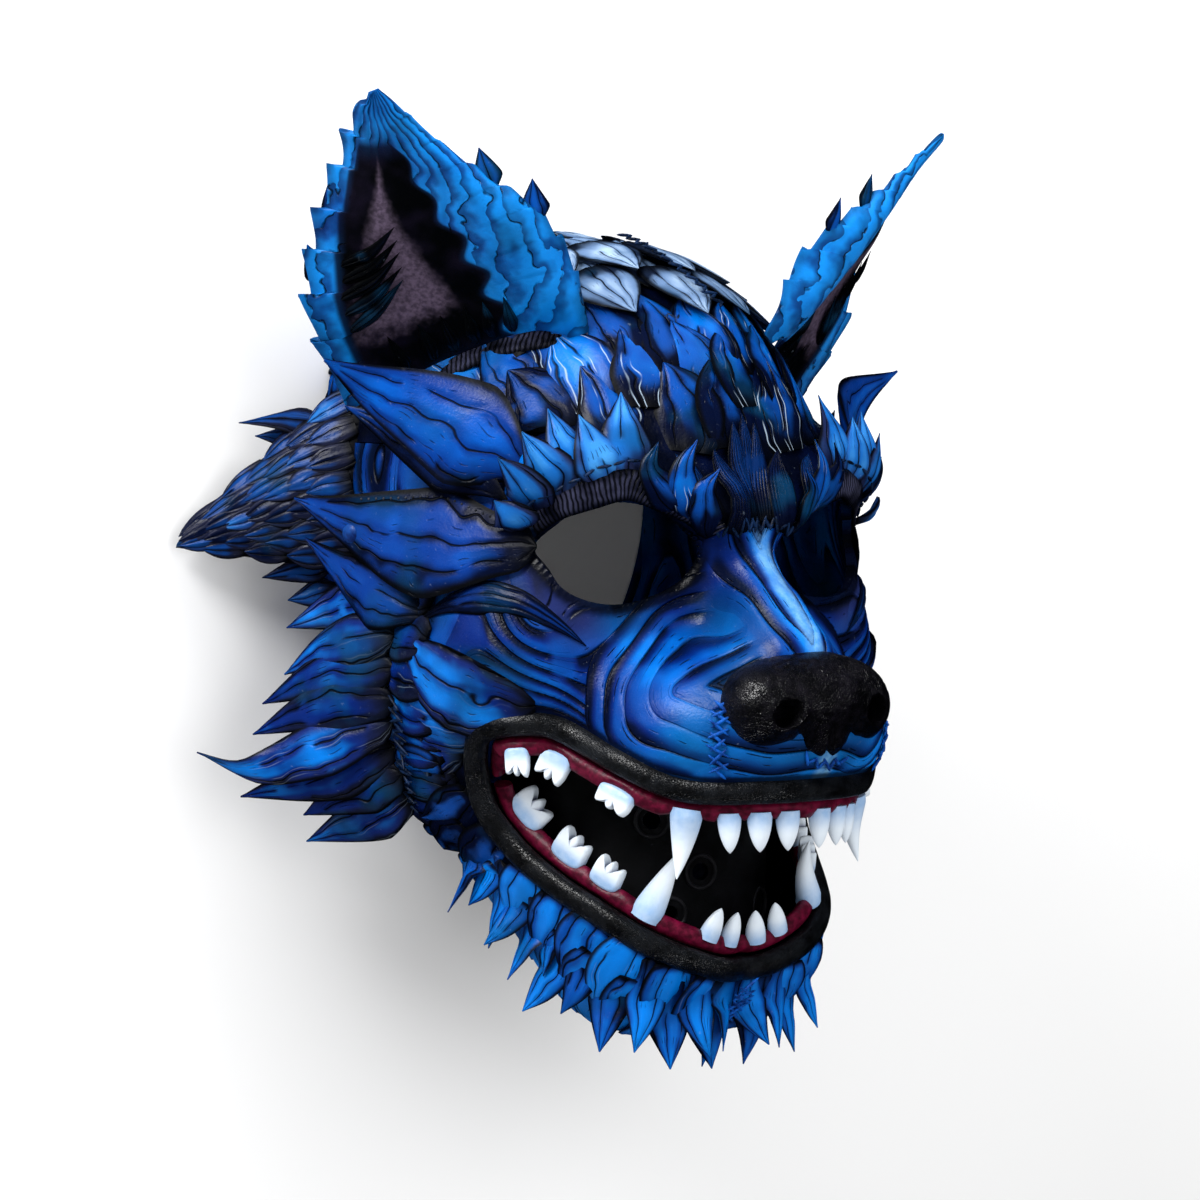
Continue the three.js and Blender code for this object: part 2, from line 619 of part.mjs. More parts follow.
const frameBeside = (frames, x) => {
  for (let i = 0; i < frames.length - 1; i++) {
    const a = frames[i];
    const b = frames[i + 1];
    const t = (x - a.p.x) / (b.p.x - a.p.x);
    if (t < 0 || t > 1 || !Number.isFinite(t)) continue;
    const mixed = (key) => a[key].clone().lerp(b[key], t);
    return { p: mixed("p"), along: mixed("along"), inside: mixed("inside"), out: mixed("out") };
  }
  throw new Error("no lip beside x = " + x);
};

// Teeth: each stands in the gum and points into the mouth. x is its place to the side.
const UPPER_TEETH = [
  { name: "incisor_inner", x: 8, width: 9, long: 12.5 },
  { name: "incisor_middle", x: 19, width: 9, long: 12.5 },
  { name: "incisor_outer", x: 29, width: 8.5, long: 12.5 },
  { name: "fang", x: 39, width: 11.5, long: 22 },
  { name: "molar_front", x: 53, width: 13, long: 7, cusps: true },
  { name: "molar_middle", x: 62, width: 11, long: 9, cusps: true },
  { name: "molar_back", x: 76.5, width: 8, long: 9, cusps: true },
];
const LOWER_TEETH = [
  { name: "incisor_inner", x: 7.5, width: 8, long: 11 },
  { name: "incisor_outer", x: 19, width: 8, long: 11 },
  { name: "fang", x: 42, width: 11.5, long: 24 },
  { name: "molar_front", x: 52, width: 11, long: 9, cusps: true },
  { name: "molar_middle", x: 59, width: 13, long: 10, cusps: true },
  { name: "molar_back", x: 67.5, width: 14, long: 10, cusps: true },
];
const MOLAR_HALF = 2.6; // half of a molar's thickness
const TOOTH_UPRIGHT = 0.35; // how far a tooth turns from square to the gum towards upright
const TOOTH_INWARD = 0.06;
// Along a pointed tooth: the share of its length, and its radius as a share of its width
const TOOTH_RINGS = [
  [0, 0.5],
  [0.45, 0.46],
  [0.8, 0.24],
  [1, 0.05],
];
// The outline of a molar's crown, in shares of its width and length
const CUSPS = [
  [0.5, 0],
  [0.5, 0.4],
  [0.4, 0.8],
  [0.22, 0.5],
  [0.02, 0.96],
  [-0.16, 0.58],
  [-0.36, 1],
  [-0.5, 0.62],
  [-0.5, 0],
];
function tooth(frames, { x, width, long, cusps }) {
  const f = frameBeside(frames, x);
  const across = f.along.clone().normalize();
  const up = at(0, Math.sign(f.inside.y), 0);
  const axis = f.inside.clone().lerp(up, TOOTH_UPRIGHT).addScaledVector(f.out, -TOOTH_INWARD);
  axis.addScaledVector(across, -axis.dot(across)).normalize();
  const depth = axis.clone().cross(across).normalize();
  const root = inFrame(f, GUM_EDGE + GAP, GUM_MIDDLE_OUT);
  const corner = (a, b, c) =>
    root.clone().addScaledVector(across, a).addScaledVector(axis, b).addScaledVector(depth, c);
  if (cusps) {
    const side = (c) => CUSPS.map(([a, b]) => corner(a * width, b * long, c));
    const n = CUSPS.length;
    const flat = THREE.ShapeUtils.triangulateShape(
      CUSPS.map(([a, b]) => new THREE.Vector2(a, b)),
      [],
    );
    const faces = flat.flatMap(([a, b, c]) => [
      [a, b, c],
      [n + a, n + c, n + b],
    ]);
    for (let i = 0; i < n; i++) {
      const j = (i + 1) % n;
      faces.push([i, n + i, n + j], [i, n + j, j]);
    }
    return solid([...side(MOLAR_HALF), ...side(-MOLAR_HALF)], faces);
  }
  const rings = TOOTH_RINGS.map(([share, size]) =>
    [0, 1, 2, 3, 4, 5].map((i) => {
      const turn = (Math.PI * i) / 3;
      const radius = size * width;
      return corner(radius * Math.cos(turn), share * long, 0.8 * radius * Math.sin(turn));
    }),
  );
  return loft(rings);
}

// Black lining behind the teeth: an upright half cylinder with ringed breathing holes
const LINING_MIDDLE_Z = 62;
const LINING_SIDE = 54;
const LINING_FRONT = 70;
const LINING_TOP_Y = -56;
const LINING_BOTTOM_Y = -168;
const LINING_THICK = 2.4;
const LINING_TURNS = [-80, -60, -40, -20, 0, 20, 40, 60, 80].map(THREE.MathUtils.degToRad);
function liningPoint(turn, y, extra = 0) {
  const side = (LINING_SIDE + extra) * Math.sin(turn);
  return at(side, y, LINING_MIDDLE_Z + (LINING_FRONT + extra) * Math.cos(turn));
}
const liningRow = (y) => LINING_TURNS.map((turn) => liningPoint(turn, y));
const liningRows = [liningRow(LINING_TOP_Y), liningRow(LINING_BOTTOM_Y)];
// The holes, each at its place to the side and its height
const BREATHING_HOLES = [
  [-23, -97],
  [-6, -116],
  [33, -104],
  [27, -132],
  [-17, -131],
  [44, -120],
];
const HOLE_RADIUS = 3.2;
const RING_RADIUS = 6;
const holePegs = BREATHING_HOLES.map(([x, y]) => {
  const turn = Math.asin(x / LINING_SIDE);
  const direction = at(Math.sin(turn), 0, Math.cos(turn));
  const start = liningPoint(turn, y, -4);
  const ring = peg(start.clone().addScaledVector(direction, 3), direction, RING_RADIUS, 3, 8);
  return { ring, hole: peg(start, direction, HOLE_RADIUS, 10, 6) };
});
const liningSheet = sheet({ rows: liningRows, thick: LINING_THICK });
const ringed = union([liningSheet, ...holePegs.map((h) => h.ring)]);
const liningRaw = minus(ringed, ...holePegs.map((h) => h.hole));

// Rivets on the side of the head
const RIVETS = [at(87, -2, 28), at(88, -41, 48), at(80, -100, 42)];
const RIVET_RADIUS = 4;
const RIVET_HEIGHT = 5;
function rivet(p, grow) {
  const foot = onHead(p, GAP - grow);
  return peg(foot, outward(p), RIVET_RADIUS + grow, RIVET_HEIGHT + 2 * grow, 8);
}

// Materials
const colours = {
  crown: [0x7f93a8, 0.5],
  blue: [0x1450c8, 0.45],
  brow: [0x3a78d8, 0.5],
  black: [0x15151a, 0.35],
  gum: [0x8c1a48, 0.45],
  tooth: [0xe6ecf4, 0.35],
};
const made = [];
const add = (name, s, look = "blue") => made.push([name, s, look]);
add("crown", crown, "crown");
add("forehead", forehead);
add("lip_band", lipBand, "black");
const grownNose = nose(GAP);
add("nose", largest(minus(nose(0), dome(GAP), bothSides(nostril))), "black");
const teeth = [
  ...UPPER_TEETH.map((t) => ({ ...t, frames: upperFrames, name: "upper_" + t.name })),
  ...LOWER_TEETH.map((t) => ({ ...t, frames: lowerFrames, name: "lower_" + t.name })),
];
teeth.forEach((t) => {
  const one = largest(minus(tooth(t.frames, t), gum(t.frames, GAP)));
  add(t.name + "_left", one, "tooth");
  add(t.name + "_right", mirrored(one), "tooth");
});
add("upper_gum", gum(upperFrames), "gum");
add("lower_gum", gum(lowerFrames), "gum");
add("muzzle", muzzle);
add("cheek_left", cheek);
add("cheek_right", mirrored(cheek));
add("jaw", jaw);
add("mouth_lining", largest(liningRaw.intersect(dome(-LEATHER - 2 * GAP))), "black");
// The pieces that lie on the head. Each is cut clear of the head and of the pieces before it.
let grownPieces = union([grownHead.add(grownNose), ...RIVETS.map((p) => bothSides(rivet(p, GAP)))]);
const PIECES = [
  ["ear", ear],
  ["temple_lock", templeLock],
  ["cheek_lock_upper", cheekLockUpper],
  ["cheek_lock_lower", cheekLockLower],
  ["brow_curls", browCurls],
  ["brow_leaves", browLeaves],
  ["cheek_mane", cheekMane],
  ["side_flap", sideFlap],
];
PIECES.forEach(([name, make]) => {
  const one = largest(minus(make(0), grownPieces).intersect(ahead));
  add(name + "_left", one, name.startsWith("brow") ? "brow" : "blue");
  add(name + "_right", mirrored(one), name.startsWith("brow") ? "brow" : "blue");
  grownPieces = grownPieces.add(bothSides(make(GAP)));
});
add("beard", largest(minus(beard(0), grownPieces)));
RIVETS.forEach((p, i) => {
  const one = minus(rivet(p, 0), grownHead);
  add("rivet_" + (i + 1) + "_left", one);
  add("rivet_" + (i + 1) + "_right", mirrored(one));
});

const group = new THREE.Group();
group.position.set(0, EYE_LINE_Y, -RIM_Z);
made.forEach(([name, s, look]) => {
  const { vertProperties, triVerts } = s.getMesh();
  const geometry = new THREE.BufferGeometry();
  geometry.setAttribute("position", new THREE.BufferAttribute(vertProperties, 3));
  geometry.setIndex(new THREE.BufferAttribute(triVerts, 1));
  const [color, roughness] = colours[look];
  const mesh = new THREE.Mesh(geometry, new THREE.MeshStandardMaterial({ color, roughness, metalness: 0 }));
  mesh.name = name;
  group.add(mesh);
});
export default group;
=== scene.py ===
import math

import bpy
import numpy as np
from mathutils import Matrix, Vector


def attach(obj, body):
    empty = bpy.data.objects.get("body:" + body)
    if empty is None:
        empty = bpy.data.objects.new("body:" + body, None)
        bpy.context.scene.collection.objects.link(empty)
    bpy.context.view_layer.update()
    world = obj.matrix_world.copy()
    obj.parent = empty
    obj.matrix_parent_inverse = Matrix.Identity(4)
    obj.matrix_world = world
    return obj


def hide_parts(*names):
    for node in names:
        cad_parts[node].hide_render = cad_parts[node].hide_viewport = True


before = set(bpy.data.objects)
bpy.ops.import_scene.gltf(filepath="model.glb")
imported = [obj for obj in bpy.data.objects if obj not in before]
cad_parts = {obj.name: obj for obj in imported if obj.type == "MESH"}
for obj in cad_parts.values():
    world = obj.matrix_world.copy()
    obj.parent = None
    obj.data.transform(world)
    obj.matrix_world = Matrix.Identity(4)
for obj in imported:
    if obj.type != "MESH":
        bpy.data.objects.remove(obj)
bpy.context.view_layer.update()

# Sizes are in millimetres in the frame of the face: x to the wearer's left, y to the top of the mask and
# z forward, with y = 0 on the line of the eyes. to_frame() turns them into metres in the part's own frame.
EYE_LINE_Y = 15.5
RIM_Z = -25.0
LEATHER = 3.0
SEAM = 0.2
CHUNK = 4000
FLIP = (-1, 1, 1)
RNG = np.random.default_rng(7)


def vec(*xyz):
    return np.array(xyz, float)


def to_frame(p):
    return (np.asarray(p, float) + vec(0, EYE_LINE_Y, -RIM_Z)) / 1000


def unit(v):
    return v / np.maximum(np.linalg.norm(v, axis=-1, keepdims=True), 1e-9)


def smoothstep(x, low, high):
    t = np.clip((x - low) / (high - low), 0, 1)
    return t * t * (3 - 2 * t)


def lattice(i, j, k, seed):
    h = (i * 374761393 + j * 668265263 + k * 1274126177 + seed * 362437) & 0x7FFFFFFF
    h = ((h ^ (h >> 13)) * 1103515245 + 12345) & 0x7FFFFFFF
    return (h ^ (h >> 16)) % 10007 / 10007.0


def noise(p, size, seed=0):
    """Smooth noise from 0 to 1 with bumps of about the given size"""
    q = np.asarray(p, float) / size + 1000
    base = np.floor(q).astype(np.int64)
    f = q - base
    f = f * f * (3 - 2 * f)
    total = 0
    for a in (0, 1):
        for b in (0, 1):
            for c in (0, 1):
                w = (f[..., 0] if a else 1 - f[..., 0]) * (f[..., 1] if b else 1 - f[..., 1])
                w = w * (f[..., 2] if c else 1 - f[..., 2])
                total = total + w * lattice(base[..., 0] + a, base[..., 1] + b, base[..., 2] + c, seed)
    return total


# The head's form, as a signed distance
HEAD_CORE = (0, -25, 60)
HEAD_REACH = 240


def ellipsoid(p, centre, radii):
    q = (p - vec(*centre)) / vec(*radii)
    near = np.linalg.norm(q, axis=-1)
    slope = np.linalg.norm(q / vec(*radii), axis=-1)
    return near * (near - 1) / np.maximum(slope, 1e-9)


def capsule(p, a, b, radius_a, radius_b):
    a, b = vec(*a), vec(*b)
    t = np.clip((p - a) @ (b - a) / ((b - a) @ (b - a)), 0, 1)
    return np.linalg.norm(p - a - t[..., None] * (b - a), axis=-1) - (radius_a + (radius_b - radius_a) * t)


def blend(a, b, width):
    h = np.clip(0.5 + 0.5 * (b - a) / width, 0, 1)
    return b + (a - b) * h - width * h * (1 - h)


def folded(p):
    p = np.array(p, float)
    p[..., 0] = np.abs(p[..., 0])
    return p


def head(point):
    p = folded(point)
    d = ellipsoid(p, (0, 14, 20), (86, 101, 128))
    d = blend(d, ellipsoid(p, (42, -2, 92), (36, 44, 46)), 20)
    d = blend(d, capsule(p, (36, -66, 22), (36, -66, 60), 42, 42), 26)
    d = blend(d, capsule(p, (32, -70, 64), (12, -132, 112), 46, 42), 24)
    d = blend(d, ellipsoid(p, (56, -40, 86), (38, 36, 44)), 22)
    muzzle = ellipsoid(p, (0, -62, 135), (57, 36, 61))
    muzzle = blend(muzzle, capsule(p, (0, 0, 138), (0, -36, 172), 12, 16), 14)
    d = blend(d, muzzle, 18)
    d = blend(d, capsule(p, (14, 14, 148), (64, 30, 120), 9, 10), 14)
    return -blend(-d, ellipsoid(p, (47, -1, 158), (32, 19, 24)), 14)


def nose_form(point):
    p = folded(point)
    d = ellipsoid(p, (0, -48, 184), (26, 16, 20))
    d = blend(d, ellipsoid(p, (20, -52, 183), (14, 14, 15)), 8)
    return blend(d, ellipsoid(p, (0, -62, 188), (11, 9, 11)), 6)


def slope_of(form, p, h=0.5):
    steps = np.eye(3) * h
    return unit(np.stack([form(p + s) - form(p - s) for s in steps], -1))


def on_head(p, lift=0.0, steps=4):
    """The point of the head's surface next to each point, raised by a lift"""
    q = np.array(p, float)
    for _ in range(steps):
        q = q - slope_of(head, q) * head(q)[..., None]
    return q + slope_of(head, q) * np.asarray(lift, float)[..., None]


def traced(form, core, directions, reach):
    """Where rays from a core leave a form for the last time"""
    r = np.full(len(directions), float(reach))
    for _ in range(90):
        d = form(core + directions * r[:, None])
        r = r - np.where(d > 0.02, np.maximum(0.02, d * 0.7), 0)
    return core + directions * r[:, None]


# Curves
def smooth_curve(points, count, closed=False):
    """Evenly spaced points of a centripetal Catmull-Rom curve"""
    p = np.array(points, float)
    if closed:
        p = np.vstack([p[-1:], p, p[:2]])
    else:
        p = np.vstack([2 * p[:1] - p[1:2], p, 2 * p[-1:] - p[-2:-1]])
    fine = []
    for a, b, c, d in zip(p[:-3], p[1:-2], p[2:-1], p[3:]):
        knots = np.cumsum([0] + [np.linalg.norm(v - u) ** 0.5 + 1e-9 for u, v in ((a, b), (b, c), (c, d))])
        t = np.linspace(knots[1], knots[2], 24, endpoint=False)[:, None]

        def mix(u, v, low, high):
            return ((high - t) * u + (t - low) * v) / (high - low)

        ab, bc, cd = mix(a, b, *knots[:2]), mix(b, c, *knots[1:3]), mix(c, d, *knots[2:])
        abc, bcd = mix(ab, bc, knots[0], knots[2]), mix(bc, cd, knots[1], knots[3])
        fine.append(mix(abc, bcd, knots[1], knots[2]))
    fine = np.vstack(fine + [p[-2:-1]])
    length = np.concatenate([[0], np.cumsum(np.linalg.norm(np.diff(fine, axis=0), axis=1))])
    at = np.linspace(0, length[-1], count + 1)[:-1] if closed else np.linspace(0, length[-1], count)
    return np.stack([np.interp(at, length, fine[:, i]) for i in range(p.shape[1])], -1)


def distance_to(p, line):
    """The distance from each point to the nearest point of a finely sampled line"""
    out = np.empty(len(p))
    for i in range(0, len(p), CHUNK):
        gap = p[i:i + CHUNK, None, :] - line[None]
        out[i:i + CHUNK] = np.sqrt((gap * gap).sum(-1).min(1))
    return out


def inside_outline(points, outline):
    """Signed distance in a plane to a closed outline, positive inside it"""
    a = outline
    edge = np.roll(outline, -1, 0) - a
    next_y = np.roll(a[:, 1], -1)
    out = np.empty(len(points))
    for i in range(0, len(points), CHUNK):
        p = points[i:i + CHUNK]
        rel = p[:, None, :] - a[None]
        t = np.clip((rel * edge).sum(-1) / (edge * edge).sum(-1), 0, 1)
        near = np.linalg.norm(rel - t[..., None] * edge, axis=-1).min(1)
        spans = (a[None, :, 1] > p[:, 1:2]) != (next_y[None] > p[:, 1:2])
        across = a[:, 0] + (p[:, 1:2] - a[:, 1]) * edge[:, 0] / np.where(edge[:, 1] == 0, 1e-9, edge[:, 1])
        odd = (spans & (p[:, 0:1] < across)).sum(1) % 2 == 1
        out[i:i + CHUNK] = np.where(odd, near, -near)
    return out


def through_cone(p, apex, loop):
    """How far inside the opening that an apex sees through a loop each point lies, in millimetres"""
    depth = p[:, 2] - apex[2]
    safe = np.maximum(depth, 1.0)
    flat = (p[:, :2] - apex[:2]) / safe[:, None]
    seen = (loop[:, :2] - apex[:2]) / (loop[:, 2:3] - apex[2])
    return np.where(depth > 1, inside_outline(flat, seen) * safe, -50.0)


# Meshes from arrays of points and triangles
SHARP_ANGLE = 1.0


def split(quads):
    return np.concatenate([quads[:, [0, 1, 2]], quads[:, [0, 2, 3]]])


def grid_tris(rows, columns, round_columns=False, round_rows=False):
    """The triangles of a grid of points, which may close on itself"""
    r, c = np.meshgrid(np.arange(rows if round_rows else rows - 1),
                       np.arange(columns if round_columns else columns - 1), indexing="ij")
    r, c = r.ravel(), c.ravel()
    up, right = (r + 1) % rows, (c + 1) % columns
    here, above = r * columns, up * columns
    return split(np.stack([here + c, here + right, above + right, above + c], 1))


def facing_out(points, tris):
    a, b, c = (points[tris[:, i]] - points.mean(0) for i in range(3))
    return tris if (a * np.cross(b, c)).sum() > 0 else tris[:, ::-1]


def merge(parts):
    """Several (points, triangles, layers) as one"""
    keys = sorted({k for _, _, layers in parts for k in layers})
    starts = np.cumsum([0] + [len(p) for p, _, _ in parts[:-1]])
    layers = {k: np.concatenate([one.get(k, np.zeros(len(p))) for p, _, one in parts]) for k in keys}
    tris = np.vstack([t + s for (_, t, _), s in zip(parts, starts)])
    return np.vstack([p for p, _, _ in parts]), tris, layers


def mirrored(part):
    points, tris, layers = part
    return points * vec(*FLIP), tris[:, ::-1], layers


def make_object(name, part):
    points, tris, layers = part
    mesh = bpy.data.meshes.new(name)
    mesh.vertices.add(len(points))
    above = np.maximum(points, vec(-np.inf, -np.inf, RIM_Z))
    mesh.vertices.foreach_set("co", to_frame(above).astype(np.float32).ravel())
    if len(tris):
        mesh.loops.add(3 * len(tris))
        mesh.loops.foreach_set("vertex_index", np.ravel(tris).astype(np.int32))
        mesh.polygons.add(len(tris))
        mesh.polygons.foreach_set("loop_start", np.arange(0, 3 * len(tris), 3, dtype=np.int32))
    mesh.update(calc_edges=True)
    for key, values in layers.items():
        kind, field = ("FLOAT_VECTOR", "vector") if np.ndim(values) == 2 else ("FLOAT", "value")
        layer = mesh.attributes.new(key, kind, "POINT")
        layer.data.foreach_set(field, np.ravel(values).astype(np.float32))
    if len(tris):
        mesh.shade_smooth()
        mesh.set_sharp_from_angle(angle=SHARP_ANGLE)
    made = bpy.data.objects.new(name, mesh)
    bpy.context.scene.collection.objects.link(made)
    return made


def plain(thing):
    """Works the modifiers of an object into its mesh"""
    view = bpy.context.evaluated_depsgraph_get()
    mesh = bpy.data.meshes.new_from_object(thing.evaluated_get(view))
    old = thing.data
    thing.modifiers.clear()
    thing.data = mesh
    bpy.data.meshes.remove(old)


def finish_piece(thing, material, slot, *nodes):
    """Gives a piece its material, sets it under the root body and hides the parts of the nodes that it stands
    for; slot is not used
    """
    thing.data.materials.clear()
    thing.data.materials.append(material)
    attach(thing, "root")
    if nodes:
        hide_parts(*nodes)


def piece(name, part, material, slot, *nodes):
    finish_piece(make_object(name, part), material, slot, *nodes)


def pair(name, part, material, slot, node=None):
    """A piece and its mirror image, which stand for a node on each side or for none"""
    for side, one in (("left", part), ("right", mirrored(part))):
        piece(f"{name}_{side}", one, material, slot, *([f"{node}_{side}"] if node else []))


def tube(rings, layers, closed=False):
    """Rings of equal length joined one after another, round into a band or with both ends closed"""
    count, n, _ = rings.shape
    points = rings.reshape(-1, 3)
    tris = grid_tris(count, n, True, closed)
    flat = {k: np.ravel(v) for k, v in layers.items()}
    if not closed:
        start, end = len(points), len(points) + 1
        i = np.arange(n)
        j = (i + 1) % n
        last = (count - 1) * n
        tris = np.vstack([tris, np.stack([j, i, np.full(n, start)], 1),
                          np.stack([last + i, last + j, np.full(n, end)], 1)])
        points = np.vstack([points, rings[0].mean(0), rings[-1].mean(0)])
        flat = {k: np.concatenate([v, [np.mean(v[:n]), np.mean(v[-n:])]]) for k, v in flat.items()}
    return points, facing_out(points, tris), flat


def arrays_of(mesh):
    """The points and triangles of a mesh"""
    points = np.empty(len(mesh.vertices) * 3)
    mesh.vertices.foreach_get("co", points)
    mesh.calc_loop_triangles()
    tris = np.empty(len(mesh.loop_triangles) * 3, np.int32)
    mesh.loop_triangles.foreach_get("vertices", tris)
    return points.reshape(-1, 3), tris.reshape(-1, 3).astype(np.int64)


def even_head(size):
    """The head as an even mesh, from a voxel remesh of a ball that is set back on the form"""
    bpy.ops.mesh.primitive_ico_sphere_add(subdivisions=7, radius=1)
    ball = bpy.context.object
    directions, _ = arrays_of(ball.data)
    points = traced(head, vec(*HEAD_CORE), unit(directions), HEAD_REACH)
    ball.data.vertices.foreach_set("co", points.ravel())
    ball.data.update()
    remesh = ball.modifiers.new("even", "REMESH")
    remesh.mode = "VOXEL"
    remesh.voxel_size = size
    plain(ball)
    points, tris = arrays_of(ball.data)
    bpy.data.objects.remove(ball)
    return points, tris


def compact(data, tris):
    """Only the rows of data that the triangles use"""
    used, inverse = np.unique(tris, return_inverse=True)
    return data[used], inverse.reshape(tris.shape)


def clip(data, tris, height):
    """The part of a triangle mesh where a height is positive. Every column of data is carried over."""
    inside = height > 0
    count = inside[tris].sum(1)
    kept = [tris[count == 3]]
    edges, made = [], len(data)
    for wanted, value in ((1, True), (2, False)):
        part = tris[count == wanted]
        first = np.argmax(inside[part] == value, axis=1)
        order = (first[:, None] + np.arange(3)) % 3
        a, b, c = np.take_along_axis(part, order, 1).T
        edges.append(np.stack([np.stack([a, b], 1), np.stack([a, c], 1)], 1))
        kept.append(np.stack([a, b, c], 1))
    pairs = np.sort(np.concatenate([e.reshape(-1, 2) for e in edges]), axis=1)
    single, where = np.unique(pairs, axis=0, return_inverse=True)
    where = where.reshape(-1) + made
    u, v = single.T
    t = (height[u] / (height[u] - height[v]))[:, None]
    data = np.vstack([data, data[u] * (1 - t) + data[v] * t])
    ones = len(edges[0])
    new_one = where[:2 * ones].reshape(-1, 2)
    new_two = where[2 * ones:].reshape(-1, 2)
    a = kept[1][:, 0]
    _, b, c = kept[2].T
    faces = [kept[0], np.stack([a, new_one[:, 0], new_one[:, 1]], 1)]
    faces.append(np.stack([new_two[:, 0], b, c], 1))
    faces.append(np.stack([new_two[:, 0], c, new_two[:, 1]], 1))
    return compact(data, np.concatenate(faces))


def shell(outer, inner, tris, layers):
    """A closed wall between two surfaces with the same triangles, and where its inner rim is"""
    n = len(outer)
    directed = np.concatenate([tris[:, [0, 1]], tris[:, [1, 2]], tris[:, [2, 0]]])
    lone = ~np.isin(directed[:, 0] * n + directed[:, 1], directed[:, 1] * n + directed[:, 0])
    a, b = directed[lone].T
    walls = np.concatenate([np.stack([b, a, a + n], 1), np.stack([b, a + n, b + n], 1)])
    doubled = {k: np.concatenate([v, v]) for k, v in layers.items()}
    doubled["within"] = np.concatenate([np.zeros(n), np.ones(n)])
    rim = np.zeros(2 * n, bool)
    rim[a + n] = True
    return np.vstack([outer, inner]), np.concatenate([tris, tris[:, ::-1] + n, walls]), doubled, rim


def thin_inside(thing, rim, share):
    """Fewer faces on the inner side, which only needs its form"""
    group = thing.vertex_groups.new(name="inner")
    inner = np.arange(len(rim)) >= len(rim) // 2
    group.add(np.flatnonzero(inner & ~rim).tolist(), 1.0, "REPLACE")
    thin = thing.modifiers.new("thin", "DECIMATE")
    thin.vertex_group = "inner"
    thin.ratio = share
    plain(thing)


# Colours and materials
def add_node(tree, kind, settings, inputs):
    """A node with its settings, whose inputs are outputs of other nodes or plain values"""
    made = tree.nodes.new(kind)
    for key, value in settings.items():
        setattr(made, key, value)
    for key, value in inputs.items():
        if isinstance(value, bpy.types.NodeSocket):
            tree.links.new(value, made.inputs[key])
        else:
            made.inputs[key].default_value = value
    return made


def paint(red, green, blue):
    """A colour given by its place on a screen, from 0 to 255"""
    def linear(v):
        v = v / 255
        return v / 12.92 if v <= 0.04045 else ((v + 0.055) / 1.055) ** 2.4

    return (linear(red), linear(green), linear(blue), 1)


BLACK = paint(2, 3, 5)
NAVY = paint(2, 9, 36)
ULTRA = paint(1, 30, 100)
BLUE = paint(1, 62, 142)
AZURE = paint(1, 112, 206)
TEAL = paint(3, 62, 98)
DUSK = paint(50, 52, 74)
PALE = paint(170, 190, 210)
MAGENTA = paint(104, 6, 44)
BRIDGE_SHINE = paint(104, 156, 196)
GROOVE_DEPTH = 0.7
CRIMP_DEPTH = 0.8
LEAF_GRAIN = 0.08
SKIN_GRAIN = 0.1
LEATHER_GLOSS = 0.12


class Wire:
    """A value in a material, which can be reckoned with"""

    def __init__(self, look, socket):
        self.look, self.socket = look, socket

    def of(self, operation, *others):
        return self.look.reckon(operation, self, *others)

    def __add__(self, other):
        return self.of("ADD", other)

    def __sub__(self, other):
        return self.of("SUBTRACT", other)

    def __rsub__(self, other):
        return self.look.reckon("SUBTRACT", other, self)

    def __mul__(self, other):
        return self.of("MULTIPLY", other)

    def __pow__(self, other):
        return self.of("POWER", other)

    def size(self):
        return self.of("ABSOLUTE")

    def part(self):
        return self.of("FRACT")

    def either(self, other):
        return self.of("MAXIMUM", other)

    def step(self, low, high):
        settings = {"interpolation_type": "SMOOTHSTEP"}
        return self.look.node("ShaderNodeMapRange", settings, {0: self, 1: low, 2: high})


